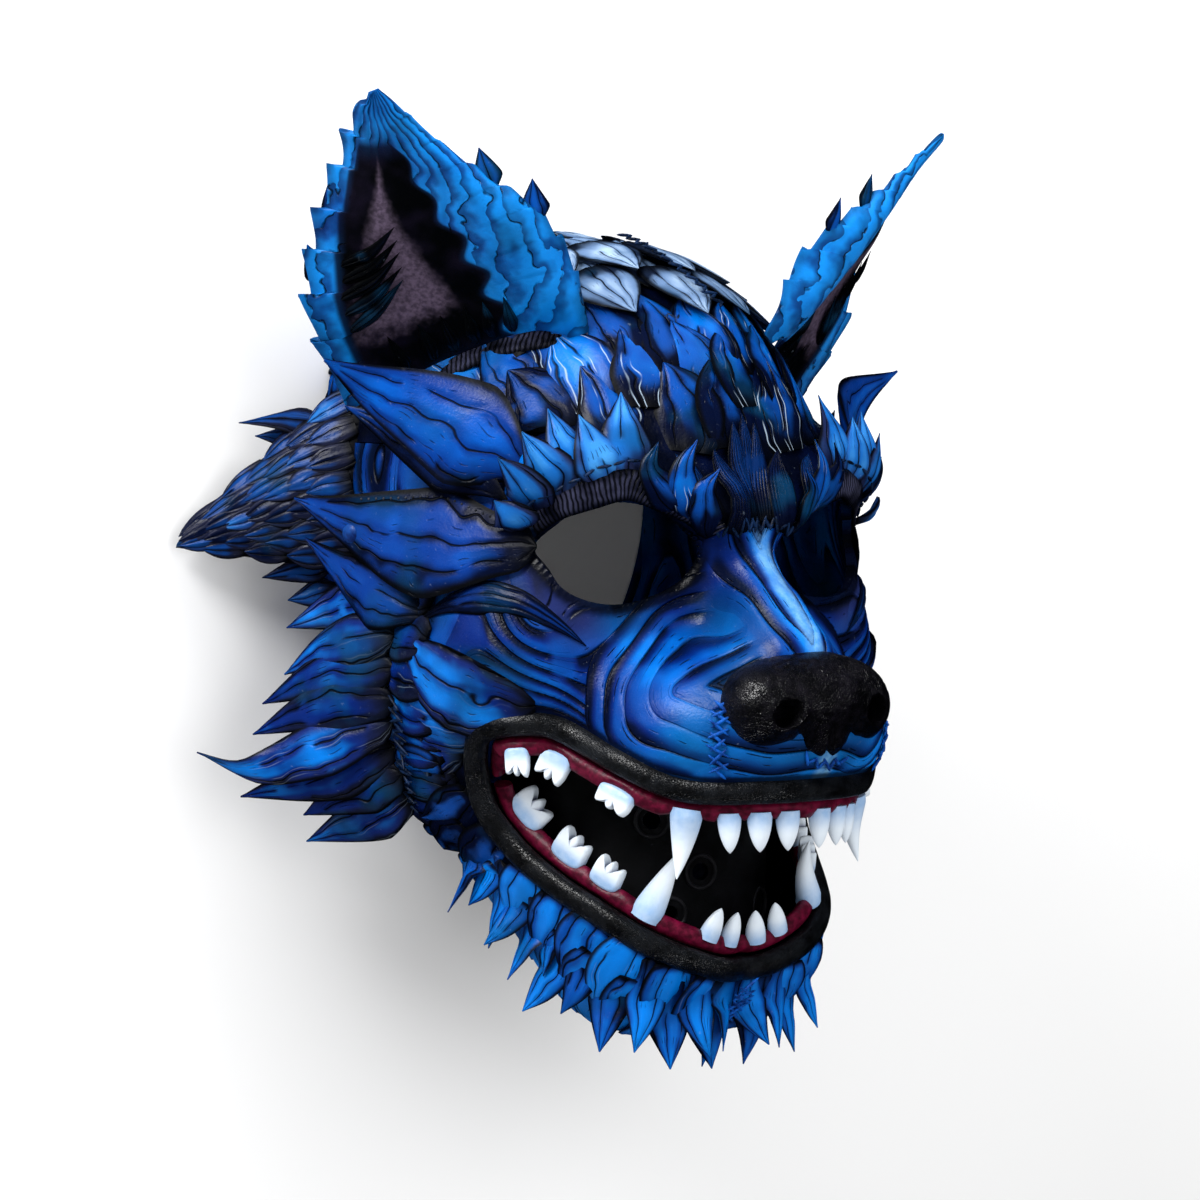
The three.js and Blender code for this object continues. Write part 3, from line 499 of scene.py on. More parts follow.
class Look:
    """A material made of nodes"""

    def __init__(self, name):
        self.material = bpy.data.materials.new(name)
        self.material.use_nodes = True
        self.tree = self.material.node_tree
        self.tree.nodes.clear()
        self.place = self.node("ShaderNodeTexCoord", {}, {}, "Object")

    def node(self, kind, settings, inputs, output=0):
        given = {key: getattr(value, "socket", value) for key, value in inputs.items()}
        return Wire(self, add_node(self.tree, kind, settings, given).outputs[output])

    def reckon(self, operation, *values):
        return self.node("ShaderNodeMath", {"operation": operation}, dict(enumerate(values)))

    def layer(self, name):
        return self.node("ShaderNodeAttribute", {"attribute_name": name}, {}, "Fac")

    def placed(self, size):
        scale = (1000 / size,) * 3
        return self.node("ShaderNodeMapping", {}, {"Vector": self.place, "Scale": scale})

    def noise(self, size, detail=2.0, rough=0.5):
        """Smooth noise from 0 to 1, in bumps of a size in millimetres"""
        inputs = {"Scale": 1.0, "Detail": detail, "Roughness": rough, "Vector": self.placed(size)}
        return self.node("ShaderNodeTexNoise", {}, inputs, "Fac")

    def cells(self, size):
        """The distance to the edge of the nearest cell, for cracks"""
        inputs = {"Vector": self.placed(size)}
        return self.node("ShaderNodeTexVoronoi", {"feature": "DISTANCE_TO_EDGE"}, inputs, "Distance")

    def mix(self, a, b, share):
        return self.node("ShaderNodeMix", {"data_type": "RGBA"}, {0: share, 6: a, 7: b}, 2)

    def coats(self, colour, *coats):
        """A colour under coats, each with the share that it covers: coats of paint, and in some looks coats
        of painted shade and painted highlight
        """
        for over, share in coats:
            colour = self.mix(colour, over, share)
        return colour

    def bump(self, height, depth, under=None):
        """The normal of a relief whose depth is in millimetres"""
        inputs = {"Strength": 1.0, "Distance": depth / 1000, "Height": height}
        if under is not None:
            inputs["Normal"] = under
        return self.node("ShaderNodeBump", {}, inputs, "Normal")

    def grained(self, relief, size, depth):
        """A relief of grooves with two grains of leather over it, the finer 0.9 mm wide"""
        return self.bump(self.noise(0.9) + self.noise(size), depth, self.bump(relief, GROOVE_DEPTH))

    def finish(self, colour, rough, normal, gloss):
        inputs = {"Base Color": colour, "Roughness": rough, "Normal": normal, "Specular IOR Level": gloss}
        shader = self.node("ShaderNodeBsdfPrincipled", {}, inputs)
        add_node(self.tree, "ShaderNodeOutputMaterial", {}, {"Surface": shader.socket})
        return self.material


def blade_look(name, deep, middle, bright, veins=3.0, pale=0.0, dusk=0.0, shaded=0.5, patchy=1.1):
    """Painted leather cut as leaves or locks, with black worked into its veins and along its edges, and
    painted shade that darkens it towards its edges and turns black at its root
    """
    look = Look(name)
    across, along = look.layer("across"), look.layer("along")
    seed, tone = look.layer("seed"), look.layer("tone")
    wander = look.noise(13, 1.0) - 0.5
    lane = (across * (veins * 0.5) + seed * 7.0 + wander * 0.9).part() - 0.5
    broken = look.noise(15, 1.0).step(0.34, 0.44)
    vein = (1.0 - lane.size().step(0.005, 0.06)) * broken
    # A broad trough on each side of a vein, in the relief and as painted shade
    shaded_trough = (1.0 - lane.size().step(0.0, 0.36)) * broken
    fine = (across * (veins * 2.1) + seed * 3.0 + wander * 2.6).part() - 0.5
    hair = (1.0 - fine.size().step(0.02, 0.13)) * look.noise(7).step(0.56, 0.68)
    # Painted shade: darker towards the edges, where the blade curves down, and towards the root, where it
    # meets the head or lies under its neighbours; shaded is how far from the root this shade reaches
    edge = across.size().step(0.35, 1.0)
    root = 1.0 - along.step(0.0, shaded)
    light = tone + (look.noise(17) - 0.5) * patchy + seed * 0.3 - 0.24
    light = light - edge * 0.4 - root * 0.5 - shaded_trough * 0.25
    # Black in the veins and hairs and along the edges, and painted shade that turns black at the root
    dark = vein.either(hair * 0.6).either(across.size().step(0.8, 0.95)).either(root ** 3.0)
    beside_vein = 1.0 - (lane.size() - 0.16).size().step(0.002, 0.035)
    white = beside_vein * look.noise(12, 1.0).step(0.45, 0.6) * seed.step(0.6, 0.7)
    scuff = look.noise(2.2, 3.0, 0.6).step(0.66, 0.8) * (1.0 - dark) * 0.14
    colour = look.coats(
        deep, (middle, light.step(0.0, 0.4)), (bright, light.step(0.36, 0.9)),
        (TEAL, look.noise(23).step(0.5, 0.72) * (patchy * 0.5)),
        (DUSK, (edge * 0.7).either(root * 0.8) * dusk),
        (BLACK, dark * 0.95), (PALE, (white * pale).either(scuff)),
    )
    normal = look.grained(0.0 - vein - hair * 0.4 - shaded_trough * 0.4, 2.6, LEAF_GRAIN)
    return look.finish(colour, look.noise(6) * 0.16 + 0.24 + dark * 0.2, normal, LEATHER_GLOSS)


def crimped_look(name, dark, light, folds):
    """Leather pressed into narrow folds that cross a strip"""
    look = Look(name)
    along, across = look.layer("along"), look.layer("across")
    fold = (along * folds + (look.noise(4, 1.0) - 0.5) * 0.9 + across * 0.4).part() - 0.5
    groove = 1.0 - fold.size().step(0.04, 0.3)
    lit = look.noise(9).step(0.3, 0.65) * (1.0 - across.size().step(0.4, 1.0))
    edge = across.size().step(0.8, 1.0)
    colour = look.coats(dark, (light, lit), (BLACK, groove.either(edge) * 0.92))
    normal = look.bump(look.noise(0.9), LEAF_GRAIN, look.bump(0.0 - groove, CRIMP_DEPTH))
    return look.finish(colour, look.noise(5) * 0.2 + 0.34, normal, 0.1)


# Leaves, locks, tufts and strips. A blade's section is a ring of points: across its top and back underneath.
TOP = np.linspace(-1, 1, 11)
ROUND = np.concatenate([TOP, TOP[-2:0:-1]])
UNDER = np.concatenate([np.zeros(len(TOP), bool), np.ones(len(TOP) - 2, bool)])
LEAF_STATIONS = 13
THINNEST = 0.03


def blade(line, widths, thick, side=None, tone=0.5, ridge=0.3, droop=0.0, roll=0.0):
    """A closed blade along a line: wide across, thick in the middle and thin at both edges"""
    t = np.linspace(0, 1, len(line))
    along = unit(np.gradient(line, axis=0))
    facing = slope_of(head, line) if side is None else np.broadcast_to(unit(vec(*side)), line.shape)
    flat = unit(np.cross(facing, along))
    upright = unit(np.cross(along, flat))
    across = flat * math.cos(roll) + upright * math.sin(roll)
    over = upright * math.cos(roll) - flat * math.sin(roll)
    swell = (1 - np.abs(ROUND) ** 2.2) ** 0.6 * np.where(UNDER, -1, 1)
    ridges = ridge * np.cos(3 * np.pi * ROUND) * (1 - ROUND ** 2) * ~UNDER
    narrow = np.clip(widths / max(widths.max(), 1e-6), 0.12, 1)[:, None]
    height = (thick / 2 * swell + ridges - droop * ROUND ** 2) * narrow
    rings = line[:, None] + across[:, None] * (widths[:, None] / 2 * ROUND)[..., None]
    rings = rings + over[:, None] * height[..., None]
    shape = rings.shape[:2]
    layers = {"across": np.broadcast_to(ROUND, shape), "along": np.broadcast_to(t[:, None], shape)}
    layers["seed"] = np.full(shape, RNG.random())
    layers["tone"] = np.full(shape, tone)
    return tube(rings, layers)


def leaf(root, tip, width, rise=2.0, thick=3.5, tone=0.5, lift=0.4, point=2.6, bend=0.0, roll=0.0,
         stem=0.66):
    """A carved leaf that lies on the head, bends to one side and rises towards its tip"""
    t = np.linspace(0, 1, LEAF_STATIONS)
    line = vec(*root) + (vec(*tip) - vec(*root)) * t[:, None]
    aside = np.cross(slope_of(head, line), unit(vec(*tip) - vec(*root)))
    sweep = bend * (np.sin(np.pi * t) + 0.4 * t ** 3)
    line = on_head(line + aside * sweep[:, None], lift + rise * t ** 1.6)
    body = stem + (1 - stem) * np.sin(np.pi * np.clip(t / 0.9, 0, 1)) ** 0.8
    widths = width * np.maximum(body * (1 - t ** point) ** 0.75, THINNEST)
    return blade(line, widths, thick, tone=tone, droop=0.4, roll=roll)


def lock(path, width, thick=5.0, stations=22, side=None, tone=0.5, root=0.2, peak=0.36):
    """A lock that leaves the head: from a share of its width at the root it widens, then ends in a point"""
    line = smooth_curve(path, stations)
    t = np.linspace(0, 1, stations)
    run = np.clip((t - peak) / (1 - peak), 0, 1)
    taper = (1 - run) ** 0.9 * (1 + 0.35 * run * (1 - run))
    swell = (root + (1 - root) * smoothstep(t, peak - 0.36, peak + 0.04)) * taper
    widths = width * np.maximum(swell * np.sqrt(np.clip(t / 0.07, 0, 1)), THINNEST)
    return blade(line, widths, thick, side=side, tone=tone, ridge=0.25, droop=0.8)


def strip(path, width, lift, thick=3.0, stations=40, tone=0.3):
    """A band of even width that lies on the head along a path"""
    line = on_head(smooth_curve(path, stations), lift)
    return blade(line, np.full(stations, float(width)), thick, tone=tone, ridge=0.1)


def walk(p, direction, distance, steps=5):
    """The point reached by going over the head's surface in a direction"""
    p = on_head(p)
    for _ in range(steps):
        normal = slope_of(head, p)
        level = unit(direction - normal * (direction * normal).sum(-1, keepdims=True))
        p = on_head(p + level * distance / steps, steps=2)
    return p


# Mouth: the middle of the black lip, from the centre of the upper lip round one corner to the lower lip
LIP_HALF = [
    [0, -80, 190], [20, -80, 185], [40, -78, 166], [52, -72, 152], [59, -65, 133], [69, -60, 122],
    [78, -60, 112], [82, -64, 104], [80, -72, 97], [76, -82, 92], [72, -94, 91], [65, -107, 99],
    [56, -119, 115], [49, -127, 129], [40, -135, 141], [24, -143, 149], [0, -150, 151],
]
MOUTH_CORE = vec(0, -98, 52)
LIP_STATIONS = 216
lip_whole = LIP_HALF + [[-x, y, z] for x, y, z in LIP_HALF[-2:0:-1]]
lip_line = on_head(smooth_curve(lip_whole, LIP_STATIONS, True), 0.8)
lip_along = unit(np.roll(lip_line, -1, 0) - np.roll(lip_line, 1, 0))
lip_inside = unit(np.cross(lip_along, lip_line - MOUTH_CORE))
lip_out = np.cross(lip_inside, lip_along)
LIP_HALF_WIDTH = 4.6
LIP_LAP = 1.8
LIP_SECTION = [
    [-LIP_HALF_WIDTH, 0.4], [-2.6, 2.8], [1.8, 3], [LIP_HALF_WIDTH, 0.6],
    [3.2, -3.4], [-LIP_HALF_WIDTH, -3],
]
mouth_edge = (lip_line - lip_inside * (LIP_HALF_WIDTH - LIP_LAP))[::2]

# Eye: the almond opening with its pointed outer corner
EYE = [
    [17, 1, 144], [26, 10, 142], [37, 16, 142], [49, 18, 139], [57, 16, 134], [65, 11, 127], [72, 2, 119],
    [69, -5, 124], [64, -13, 129], [56, -17, 133], [45, -18, 135], [33, -16, 137], [22, -10, 140],
]
EYE_CORE = vec(34, -2, 70)
eye_loop = smooth_curve(EYE, 64, True)
eye_line = on_head(eye_loop)

# The seams between the panels of the shell
HAIRLINE_Y = 65
HAIRLINE_RISE = 0.13
BROW_SEAM = [[0, 14, 34, 62, 320], [9, 9, 26, 36, 38]]
LIP_SEAM = [[0, 60, 72, 320], [-100, -100, -76, -76]]


def over_hairline(p):
    return p[..., 1] - HAIRLINE_Y - HAIRLINE_RISE * (p[..., 2] - RIM_Z)


def over_seam(p, seam):
    return p[..., 1] - np.interp(np.abs(p[..., 0]), *seam)


def past(line, way, *seam):
    """A height that is positive above a line, or below it for a way of -1, past the gap of a seam"""
    return lambda p: way * line(p, *seam) - SEAM


def outside_mouth(p):
    return -through_cone(p, MOUTH_CORE, mouth_edge)


def outside_eye(p):
    return -through_cone(folded(p), EYE_CORE, eye_loop)


def before_rim(p):
    return p[:, 2] - RIM_Z


# The sizes of the mesh, for panels that leaves cover and for the bare face
COARSE = 1.35
FINE = 0.85
NEAR_PANEL = 4
INNER_SHARE = 0.56
whole = {}


def panel(size, *heights):
    """The part of the head's surface where every height is positive"""
    if size not in whole:
        whole[size] = even_head(size)
    points, tris = whole[size]
    heights = (before_rim, *heights)
    for height in heights:
        tris = tris[(height(points) > -NEAR_PANEL)[tris].all(1)]
        points, tris = compact(points, tris)
    points = on_head(points, 0.0, 2)
    for height in heights:
        points, tris = clip(points, tris, height(points))
    return points, tris


def leather_panel(name, points, tris, relief, layers, look, slot, *nodes):
    """A panel of the shell with its raised work, as one piece that stands for its nodes"""
    normal = slope_of(head, points)
    outer = points + normal * relief[:, None]
    points, tris, layers, rim = shell(outer, points - normal * LEATHER, tris, layers)
    wall = make_object(name, (points, tris, layers))
    thin_inside(wall, rim, INNER_SHARE)
    finish_piece(wall, look, slot, *nodes)


# Looks of the pieces: the dark, middle and bright paint of each kind of leaf
SILVER_LEAF = paint(16, 26, 46), paint(88, 114, 150), paint(158, 182, 208)
BLUE_LEAF = NAVY, BLUE, AZURE
LOCK_PAINT = NAVY, paint(1, 46, 122), paint(1, 88, 186)
BROW_PAINT = paint(6, 26, 70), paint(16, 92, 170), paint(66, 148, 216)
FLAP_PAINT = NAVY, paint(6, 54, 118), paint(30, 100, 170)
blade_looks = {
    "forehead_leather": blade_look("forehead", *BLUE_LEAF, veins=2.6, pale=0.75),
    "crown_leather": blade_look("crown", *SILVER_LEAF, veins=3.6, pale=0.5),
    "face_leather": blade_look("jaw_leaves", *BLUE_LEAF, veins=2.4, pale=0.1, shaded=0.14),
    "beard_leather": blade_look("beard", *BLUE_LEAF, veins=2.6, shaded=0.62),
    "ear_leather": blade_look("ear_tufts", *BLUE_LEAF, veins=2.4, shaded=0.3),
    "lock_leather": blade_look("locks", *LOCK_PAINT, veins=3.2, shaded=0.3, patchy=0.6),
    "brow_leather": blade_look("brow", *BROW_PAINT, veins=2.6, pale=0.1, dusk=0.5, shaded=0.4),
    "mane_leather": blade_look("mane", NAVY, ULTRA, AZURE, veins=2.4, pale=0.15, dusk=0.3, shaded=0.3),
    "flap_leather": blade_look("flap", *FLAP_PAINT, veins=2.6, pale=0.1, dusk=0.6),
}


def flow_look(name):
    """Painted leather carved with long flowing grooves, whose places are in the piece's own layers"""
    look = Look(name)
    swirl, in_swirl = look.layer("swirl_flow"), look.layer("in_swirl").step(-0.25, 0.25)
    bridge, in_bridge = look.layer("bridge_flow"), look.layer("in_bridge").step(-0.25, 0.25)
    strength = look.layer("strength")
    strokes = look.noise(9).step(0.52, 0.62)

    def profile(flow):
        f = flow.part()
        line = (1.0 - f.step(0.01, 0.09)).either(f.step(0.95, 0.99))
        fine = ((flow * 3.0).part() - 0.5).size()
        return line.either((1.0 - fine.step(0.01, 0.09)) * strokes), f.step(0.3, 1.0)

    line, shade = profile(look.layer("cheek_flow"))
    for flow, share in ((swirl, in_swirl), (bridge, in_bridge)):
        other_line, other_shade = profile(flow)
        line = line * (1.0 - share) + (other_line * share)
        shade = shade * (1.0 - share) + (other_shade * share)
    line = line * strength
    shade = shade * (strength * 0.8 + 0.2)
    light = look.layer("tone") + (look.noise(24) - 0.5) * 1.1 - shade * 0.7 - 0.06
    streak = look.noise(3.5, 3.0, 0.6).step(0.3, 0.75)
    scuff = look.noise(2.0, 3.0, 0.6).step(0.66, 0.8) * (1.0 - line) * 0.12
    colour = look.coats(
        NAVY, (ULTRA, light.step(-0.1, 0.32)), (BLUE, light.step(0.25, 0.62)),
        (AZURE, light.step(0.55, 1.0)), (TEAL, look.layer("teal") * (0.75 - shade * 0.4)),
        (DUSK, look.layer("dusk") * (0.8 - shade * 0.4)),
        (BRIDGE_SHINE, look.layer("pale") * (streak * 0.6 + 0.3)), (NAVY, (shade ** 2.0) * 0.7),
        (BLACK, line.either(look.layer("dark")) * 0.96), (PALE, scuff),
    )
    normal = look.grained(0.0 - line - shade * 0.3, 3.0, SKIN_GRAIN)
    return look.finish(colour, look.noise(6) * 0.2 + 0.22, normal, 0.14)


def plain_look(name, dark, light, size, rough, depth, gloss=0.2, crack=0.0, patch=8.0):
    """Leather, lace or metal in two shades, with a grain of a given size and cracks if wanted"""
    look = Look(name)
    height = look.noise(size, 3.0, 0.6)
    colour = look.mix(dark, light, (look.noise(patch, 3.0) * 0.6 + height * 0.4).step(0.35, 0.7))
    if crack:
        gap = 1.0 - look.cells(size * 2.2).step(0.0, 0.12)
        colour = look.mix(colour, BLACK, gap * 0.7)
        height = height - gap * crack
    return look.finish(colour, look.noise(patch) * 0.15 + rough, look.bump(height, depth), gloss)


face_look = flow_look("carved_face")
lip_look = plain_look("lip", paint(3, 3, 4), paint(24, 27, 32), 1.6, 0.26, 0.3, 0.4, 0.8)
nose_look = plain_look("nose", paint(3, 3, 5), paint(18, 16, 24), 2.0, 0.24, 0.3, 0.45, 0.8)
gum_look = plain_look("gum", paint(56, 2, 22), MAGENTA, 1.8, 0.32, 0.2, 0.25, patch=3.0)
lining_look = plain_look("lining", paint(4, 4, 5), paint(12, 12, 15), 0.8, 0.36, 0.08, 0.4)
ring_look = plain_look("ring", paint(14, 14, 16), paint(34, 34, 38), 0.8, 0.3, 0.08, 0.5)
rivet_look = plain_look("rivet", paint(3, 22, 74), paint(10, 66, 140), 1.5, 0.3, 0.1)
grey_rivet_look = plain_look("grey_rivet", paint(16, 18, 26), paint(58, 62, 74), 1.5, 0.35, 0.1)
dark_lace_look = plain_look("thread", paint(2, 4, 8), paint(16, 44, 84), 0.5, 0.4, 0.1, patch=5.0)
blue_lace_look = plain_look("blue_thread", paint(2, 34, 96), paint(8, 92, 190), 0.5, 0.4, 0.1, 0.15,
                            patch=3.0)
fringe_look = crimped_look("fringe", paint(6, 8, 22), paint(58, 60, 84), 44.0)
dark_hair_look = blade_look("dark_hair", BLACK, paint(4, 6, 14), paint(12, 30, 66))
hair_look = blade_look("brow_hair", NAVY, paint(2, 34, 84), paint(3, 60, 110), veins=9.0)


def enamel():
    """White teeth, blue towards the gum and dark between the cusps"""
    look = Look("tooth")
    # Painted shade: blue towards the gum, and dark in the dips between the cusps
    root = 1.0 - look.layer("along").step(-0.05, 0.6)
    streak = look.noise(3.0)
    colour = look.coats(paint(222, 232, 242), (paint(104, 154, 206), root * (streak * 0.5 + 0.45)),
                        (paint(10, 40, 100), look.layer("dark") * 0.9))
    return look.finish(colour, streak * 0.12 + 0.3, look.bump(look.noise(1.4), 0.1), 0.4)


tooth_skin = enamel()

# Face: grooves that flow round the mouth over the cheek, spread from a wedge on the muzzle, and run down
# the bridge
SWIRL_AT = vec(36, -46, 163)
SWIRL_WAY = unit(vec(-38, 0, 62))
SWIRL_RISE = math.radians(34)
SWIRL_FALL = math.radians(12)
SWIRL_GROOVES = 5
SWIRL_SPACING = 8.0
CHEEK_LINES = 7.0
CHEEK_WAVE = 46
BRIDGE_SPACING = 7
BRIDGE_HALF = 15
PLEAT_SPACING = 5.5
INNER_EYE = (17, -8, 146)
LOCK_ROOTS = (74, 3, 119), (80, -18, 115)
GROOVE = 1.0
EYE_ROLL = 0.6
NOSE_OVERLAP = 4


def beyond_wedge(p):
    """The distance to a wedge that opens forward along the muzzle, from which the swirl's grooves spread"""
    s, y = (p - SWIRL_AT) @ SWIRL_WAY, p[:, 1] - SWIRL_AT[1]
    over = y * math.cos(SWIRL_RISE) - s * math.sin(SWIRL_RISE)
    under = -y * math.cos(SWIRL_FALL) - s * math.sin(SWIRL_FALL)
    ahead = np.maximum(s * math.cos(SWIRL_RISE) + y * math.sin(SWIRL_RISE),
                       s * math.cos(SWIRL_FALL) - y * math.sin(SWIRL_FALL))
    return np.where(ahead < 0, np.hypot(s, y), np.maximum(over, under))


def bevel(flow):
    """The height across one band of a flow, steep after its groove and falling to the next"""
    f = flow - np.floor(flow)
    return (1 - np.exp(-f / 0.1)) * (1 - 0.7 * f)


def away_from(p, spot):
    return np.linalg.norm(p - vec(*spot), axis=1)


def waver(points, size, seed):
    return noise(points, size, seed) - 0.5


def face_fields(points):
    """What the face's look reads at each point, and the height of its carving"""
    p = folded(points)
    x, y, z = p.T
    from_middle = np.abs(points[:, 0])
    lip = distance_to(points, lip_line)
    eye = distance_to(p, eye_line)
    share = lip / (lip + eye + 1e-6)
    wave = 0.8 * np.sin(2 * np.pi * z / CHEEK_WAVE + 5 * share) + 2.0 * waver(points, 30, 3)
    cheek = CHEEK_LINES * share + wave * smoothstep(lip, 2, 14)
    swirl = beyond_wedge(p) / SWIRL_SPACING + 0.5 + 1.4 * waver(points, 24, 4)
    in_swirl = np.minimum((SWIRL_GROOVES - swirl) * 4, (lip - 4) / 2)
    bridge = (x - 0.25 * y) / BRIDGE_SPACING + 1.2 * waver(points, 20, 5)
    in_bridge = np.minimum((BRIDGE_HALF - x) / 2, (y + 36) / 2)
    pleat = np.minimum((92 - z) / 3, np.minimum((-57 - y) / 3, (z - 66) / 3))
    bridge = np.where(pleat > -1, y / PLEAT_SPACING + 0.5 * waver(points, 12, 15), bridge)
    in_bridge = np.maximum(in_bridge, pleat)
    strength = 0.12 + 0.88 * smoothstep(noise(points * vec(1, 1, 0.5), 13, 6), 0.28, 0.42)
    strength = strength * smoothstep(lip, 4, 7) * smoothstep(np.abs(in_bridge), 0.2, 2.2)
    # Tone: brighter near the lip; a painted highlight along the top of the bridge and painted shade by the
    # inner corner of the eye; darker towards the back and under the eye
    tone = 0.64 + 0.14 * smoothstep(lip, 30, 8) + 0.5 * waver(points, 30, 8)
    tone = tone + 0.34 * smoothstep(from_middle, 9, 3) * smoothstep(z, 148, 158)
    tone = tone - 0.3 * smoothstep(away_from(p, INNER_EYE), 27, 8) - 0.12 * smoothstep(z, 70, 20)
    tone = tone - 0.2 * smoothstep(eye, 17, 4) * smoothstep(y, 2, -8)
    # A painted highlight in a narrow strip along the top of the bridge, under which the grooves fade
    pale = smoothstep(np.abs(points[:, 0] - 1), 5, 1.5) * smoothstep(z, 150, 158)
    roots = np.minimum(*(away_from(p, spot) for spot in LOCK_ROOTS))
    rim = smoothstep(eye, 5.5, 2.5) * (0.35 + 0.65 * smoothstep(y, 6, -4))
    rim = np.maximum(np.maximum(rim, 0.7 * smoothstep(roots, 14, 5)), smoothstep(eye, 3, 1))
    layers = {
        "cheek_flow": cheek, "swirl_flow": swirl, "bridge_flow": bridge,
        "in_swirl": in_swirl, "in_bridge": in_bridge, "tone": tone, "pale": pale,
        "strength": strength * (1 - 0.8 * pale),
        "teal": np.clip(2.2 * waver(points, 22, 9) + 0.2 * smoothstep(z, 140, 90), 0, 1),
        "dusk": smoothstep(eye, 22, 7) * smoothstep(x, 46, 60) * smoothstep(y, 10, 0) * 0.5,
        "dark": np.maximum(rim, smoothstep(lip, 7.2, 5.4)) * 0.94,
    }
    flow = np.where(in_bridge > 0, bridge, np.where(in_swirl > 0, swirl, cheek))
    depth = GROOVE * strength * smoothstep(eye, 1, 5) * smoothstep(lip, 5, 9)
    rolled = EYE_ROLL * np.exp(-((eye - 2.5) / 1.8) ** 2)
    return layers, (bevel(flow) * depth + rolled) * smoothstep(lip, 4, 7)


face_points, face_tris = panel(FINE, past(over_seam, -1, BROW_SEAM), past(over_seam, 1, LIP_SEAM),
                               outside_mouth, outside_eye, lambda p: nose_form(p) + NOSE_OVERLAP)
face_layers, face_relief = face_fields(face_points)
leather_panel("face_skin", face_points, face_tris, face_relief, face_layers, face_look,
              "face_leather", "muzzle", "cheek_left", "cheek_right")

# Forehead, crown and jaw: a dark ground with rows of leaves
GROUND = {
    "cheek_flow": 0.5, "swirl_flow": 0.5, "bridge_flow": 0.5, "in_swirl": -1, "in_bridge": -1,
    "teal": 0, "dusk": 0, "pale": 0, "strength": 0.3, "tone": 0.05, "dark": 0.75,
}
GROUND_RELIEF = 0.5
# Each forehead row: the height of its roots and its tone
FOREHEAD_ROWS = [(72, 0.55), (54, 0.62), (36, 0.42), (18, 0.16)]
FOREHEAD_LEAF = {"length": 37, "width": 29}
FOREHEAD_STEP = 14
CROWN_ROWS = 9
CROWN_TOP = 68
CROWN_ROW_STEP = 11.5
CROWN_STEP = 12
CROWN_LEAF = {"length": 33, "width": 27}
# Each row of the crown's front edge: its height, how far forward it reaches and where its leaves are
CROWN_EDGE = [(91, 96, (-52, -32, -11, 11, 32, 52)), (80, 118, (-44, -22, 0, 22, 44))]
CROWN_EDGE_LEAF = {"length": 34, "width": 28}
# Each jaw row: its distance from the lip, and the length and width of its leaves
JAW_ROWS = [(38, 25, 19), (26, 27, 21), (14, 28, 23), (3, 28, 23)]
JAW_STATIONS = 6
JAW_SIDE = 66


def vary(size):
    return RNG.uniform(-size, size)


def lean_of(angle):
    return RNG.choice([-angle, angle])


def forehead_rows():
    made = []
    for row, (root_y, tone) in enumerate(FOREHEAD_ROWS):
        for k in range(-8, 9):
            angle = math.radians((k + 0.5 * (row % 2)) * FOREHEAD_STEP + vary(1.5))
            side = abs(math.degrees(angle))
            start = vec(88 * math.sin(angle), root_y + vary(2), 28 + 118 * math.cos(angle))
            root = on_head(start)
            if over_seam(root, BROW_SEAM) < 3 or over_hairline(root) > -6:
                continue
            if root[2] < -4 or (row == 3 and abs(root[0]) < 25):
                continue
            lean = math.radians(min(48, side * 0.7 + 6))
            long = FOREHEAD_LEAF["length"] + RNG.uniform(-3, 2)
            back = math.copysign(1, root[0]) if abs(root[0]) > 2 else 0
            way = vec(back * math.sin(lean) * 0.6, math.cos(lean), -math.sin(lean) * 0.9)
            tip = walk(root, way, long)
            shade = tone + (0.12 if side > 34 else 0) + vary(0.15)
            bend = back * 3 + vary(2)
            width = FOREHEAD_LEAF["width"] + vary(3)
            made.append(leaf(root, tip, width, 2.8, 3.4, shade, point=3.4, bend=bend, roll=lean_of(0.14)))
    return made


def crown_rows():
    made = []
    for row in range(CROWN_ROWS):
        pitch = math.radians(CROWN_TOP - row * CROWN_ROW_STEP)
        for k in range(-6, 7):
            turn = math.radians((k + 0.5 * (row % 2)) * CROWN_STEP)
            forward = math.cos(turn)
            way = vec(math.sin(turn), forward * math.cos(pitch), forward * math.sin(pitch))
            root = on_head(vec(0, 14, 20) + way * 104)
            if over_hairline(root) < 0.5 or root[2] < -8:
                continue
            tip = walk(root, vec(way[0] * 0.3, 0.1, -1), CROWN_LEAF["length"])
            shade = 0.5 + RNG.uniform(-0.3, 0.25)
            bend = vary(3)
            made.append(leaf(root, tip, CROWN_LEAF["width"], 2.4, 3.2, shade, point=3.2, bend=bend,
                             roll=lean_of(0.12)))
    # The raised front edge of the crown, whose leaves point forward over the hairline
    for height, ahead, places in CROWN_EDGE:
        for x in places:
            tip = on_head(vec(x + vary(3), height, ahead - abs(x) * 0.3))
            tip = tip - vec(0, min(over_hairline(tip) + 12, 0), 0)
            root = walk(tip, vec(-x * 0.004, 0.2, -1), CROWN_EDGE_LEAF["length"])
            made.append(leaf(root, tip, CROWN_EDGE_LEAF["width"], 4.0, 3.0, 0.7 + vary(0.15), 3.6))
    return made


def jaw_rows():
    made = []
    below = np.flatnonzero(lip_line[:, 1] < -80)
    for row, (gap, long, width) in enumerate(JAW_ROWS):
        chosen = below[(row % 2) * 3::JAW_STATIONS]
        away = -lip_inside[chosen]
        for root, way in zip(walk(lip_line[chosen], away, gap), away):
            if abs(root[0]) < 5 or root[2] < RIM_Z + 20 or over_seam(root, LIP_SEAM) > -3:
                continue
            tip = walk(root, way + vec(0, -0.4, -0.3), long + vary(3))
            if tip[2] < RIM_Z + 2:
                continue
            shade = (0.6 if abs(root[0]) > JAW_SIDE else 0.95) + RNG.uniform(-0.3, 0.25)
            roll = math.copysign(0.24, root[0])
            made.append(leaf(root, tip, width, 4.2, 3.0, shade, 0.8, bend=vary(3), roll=roll))
    return made


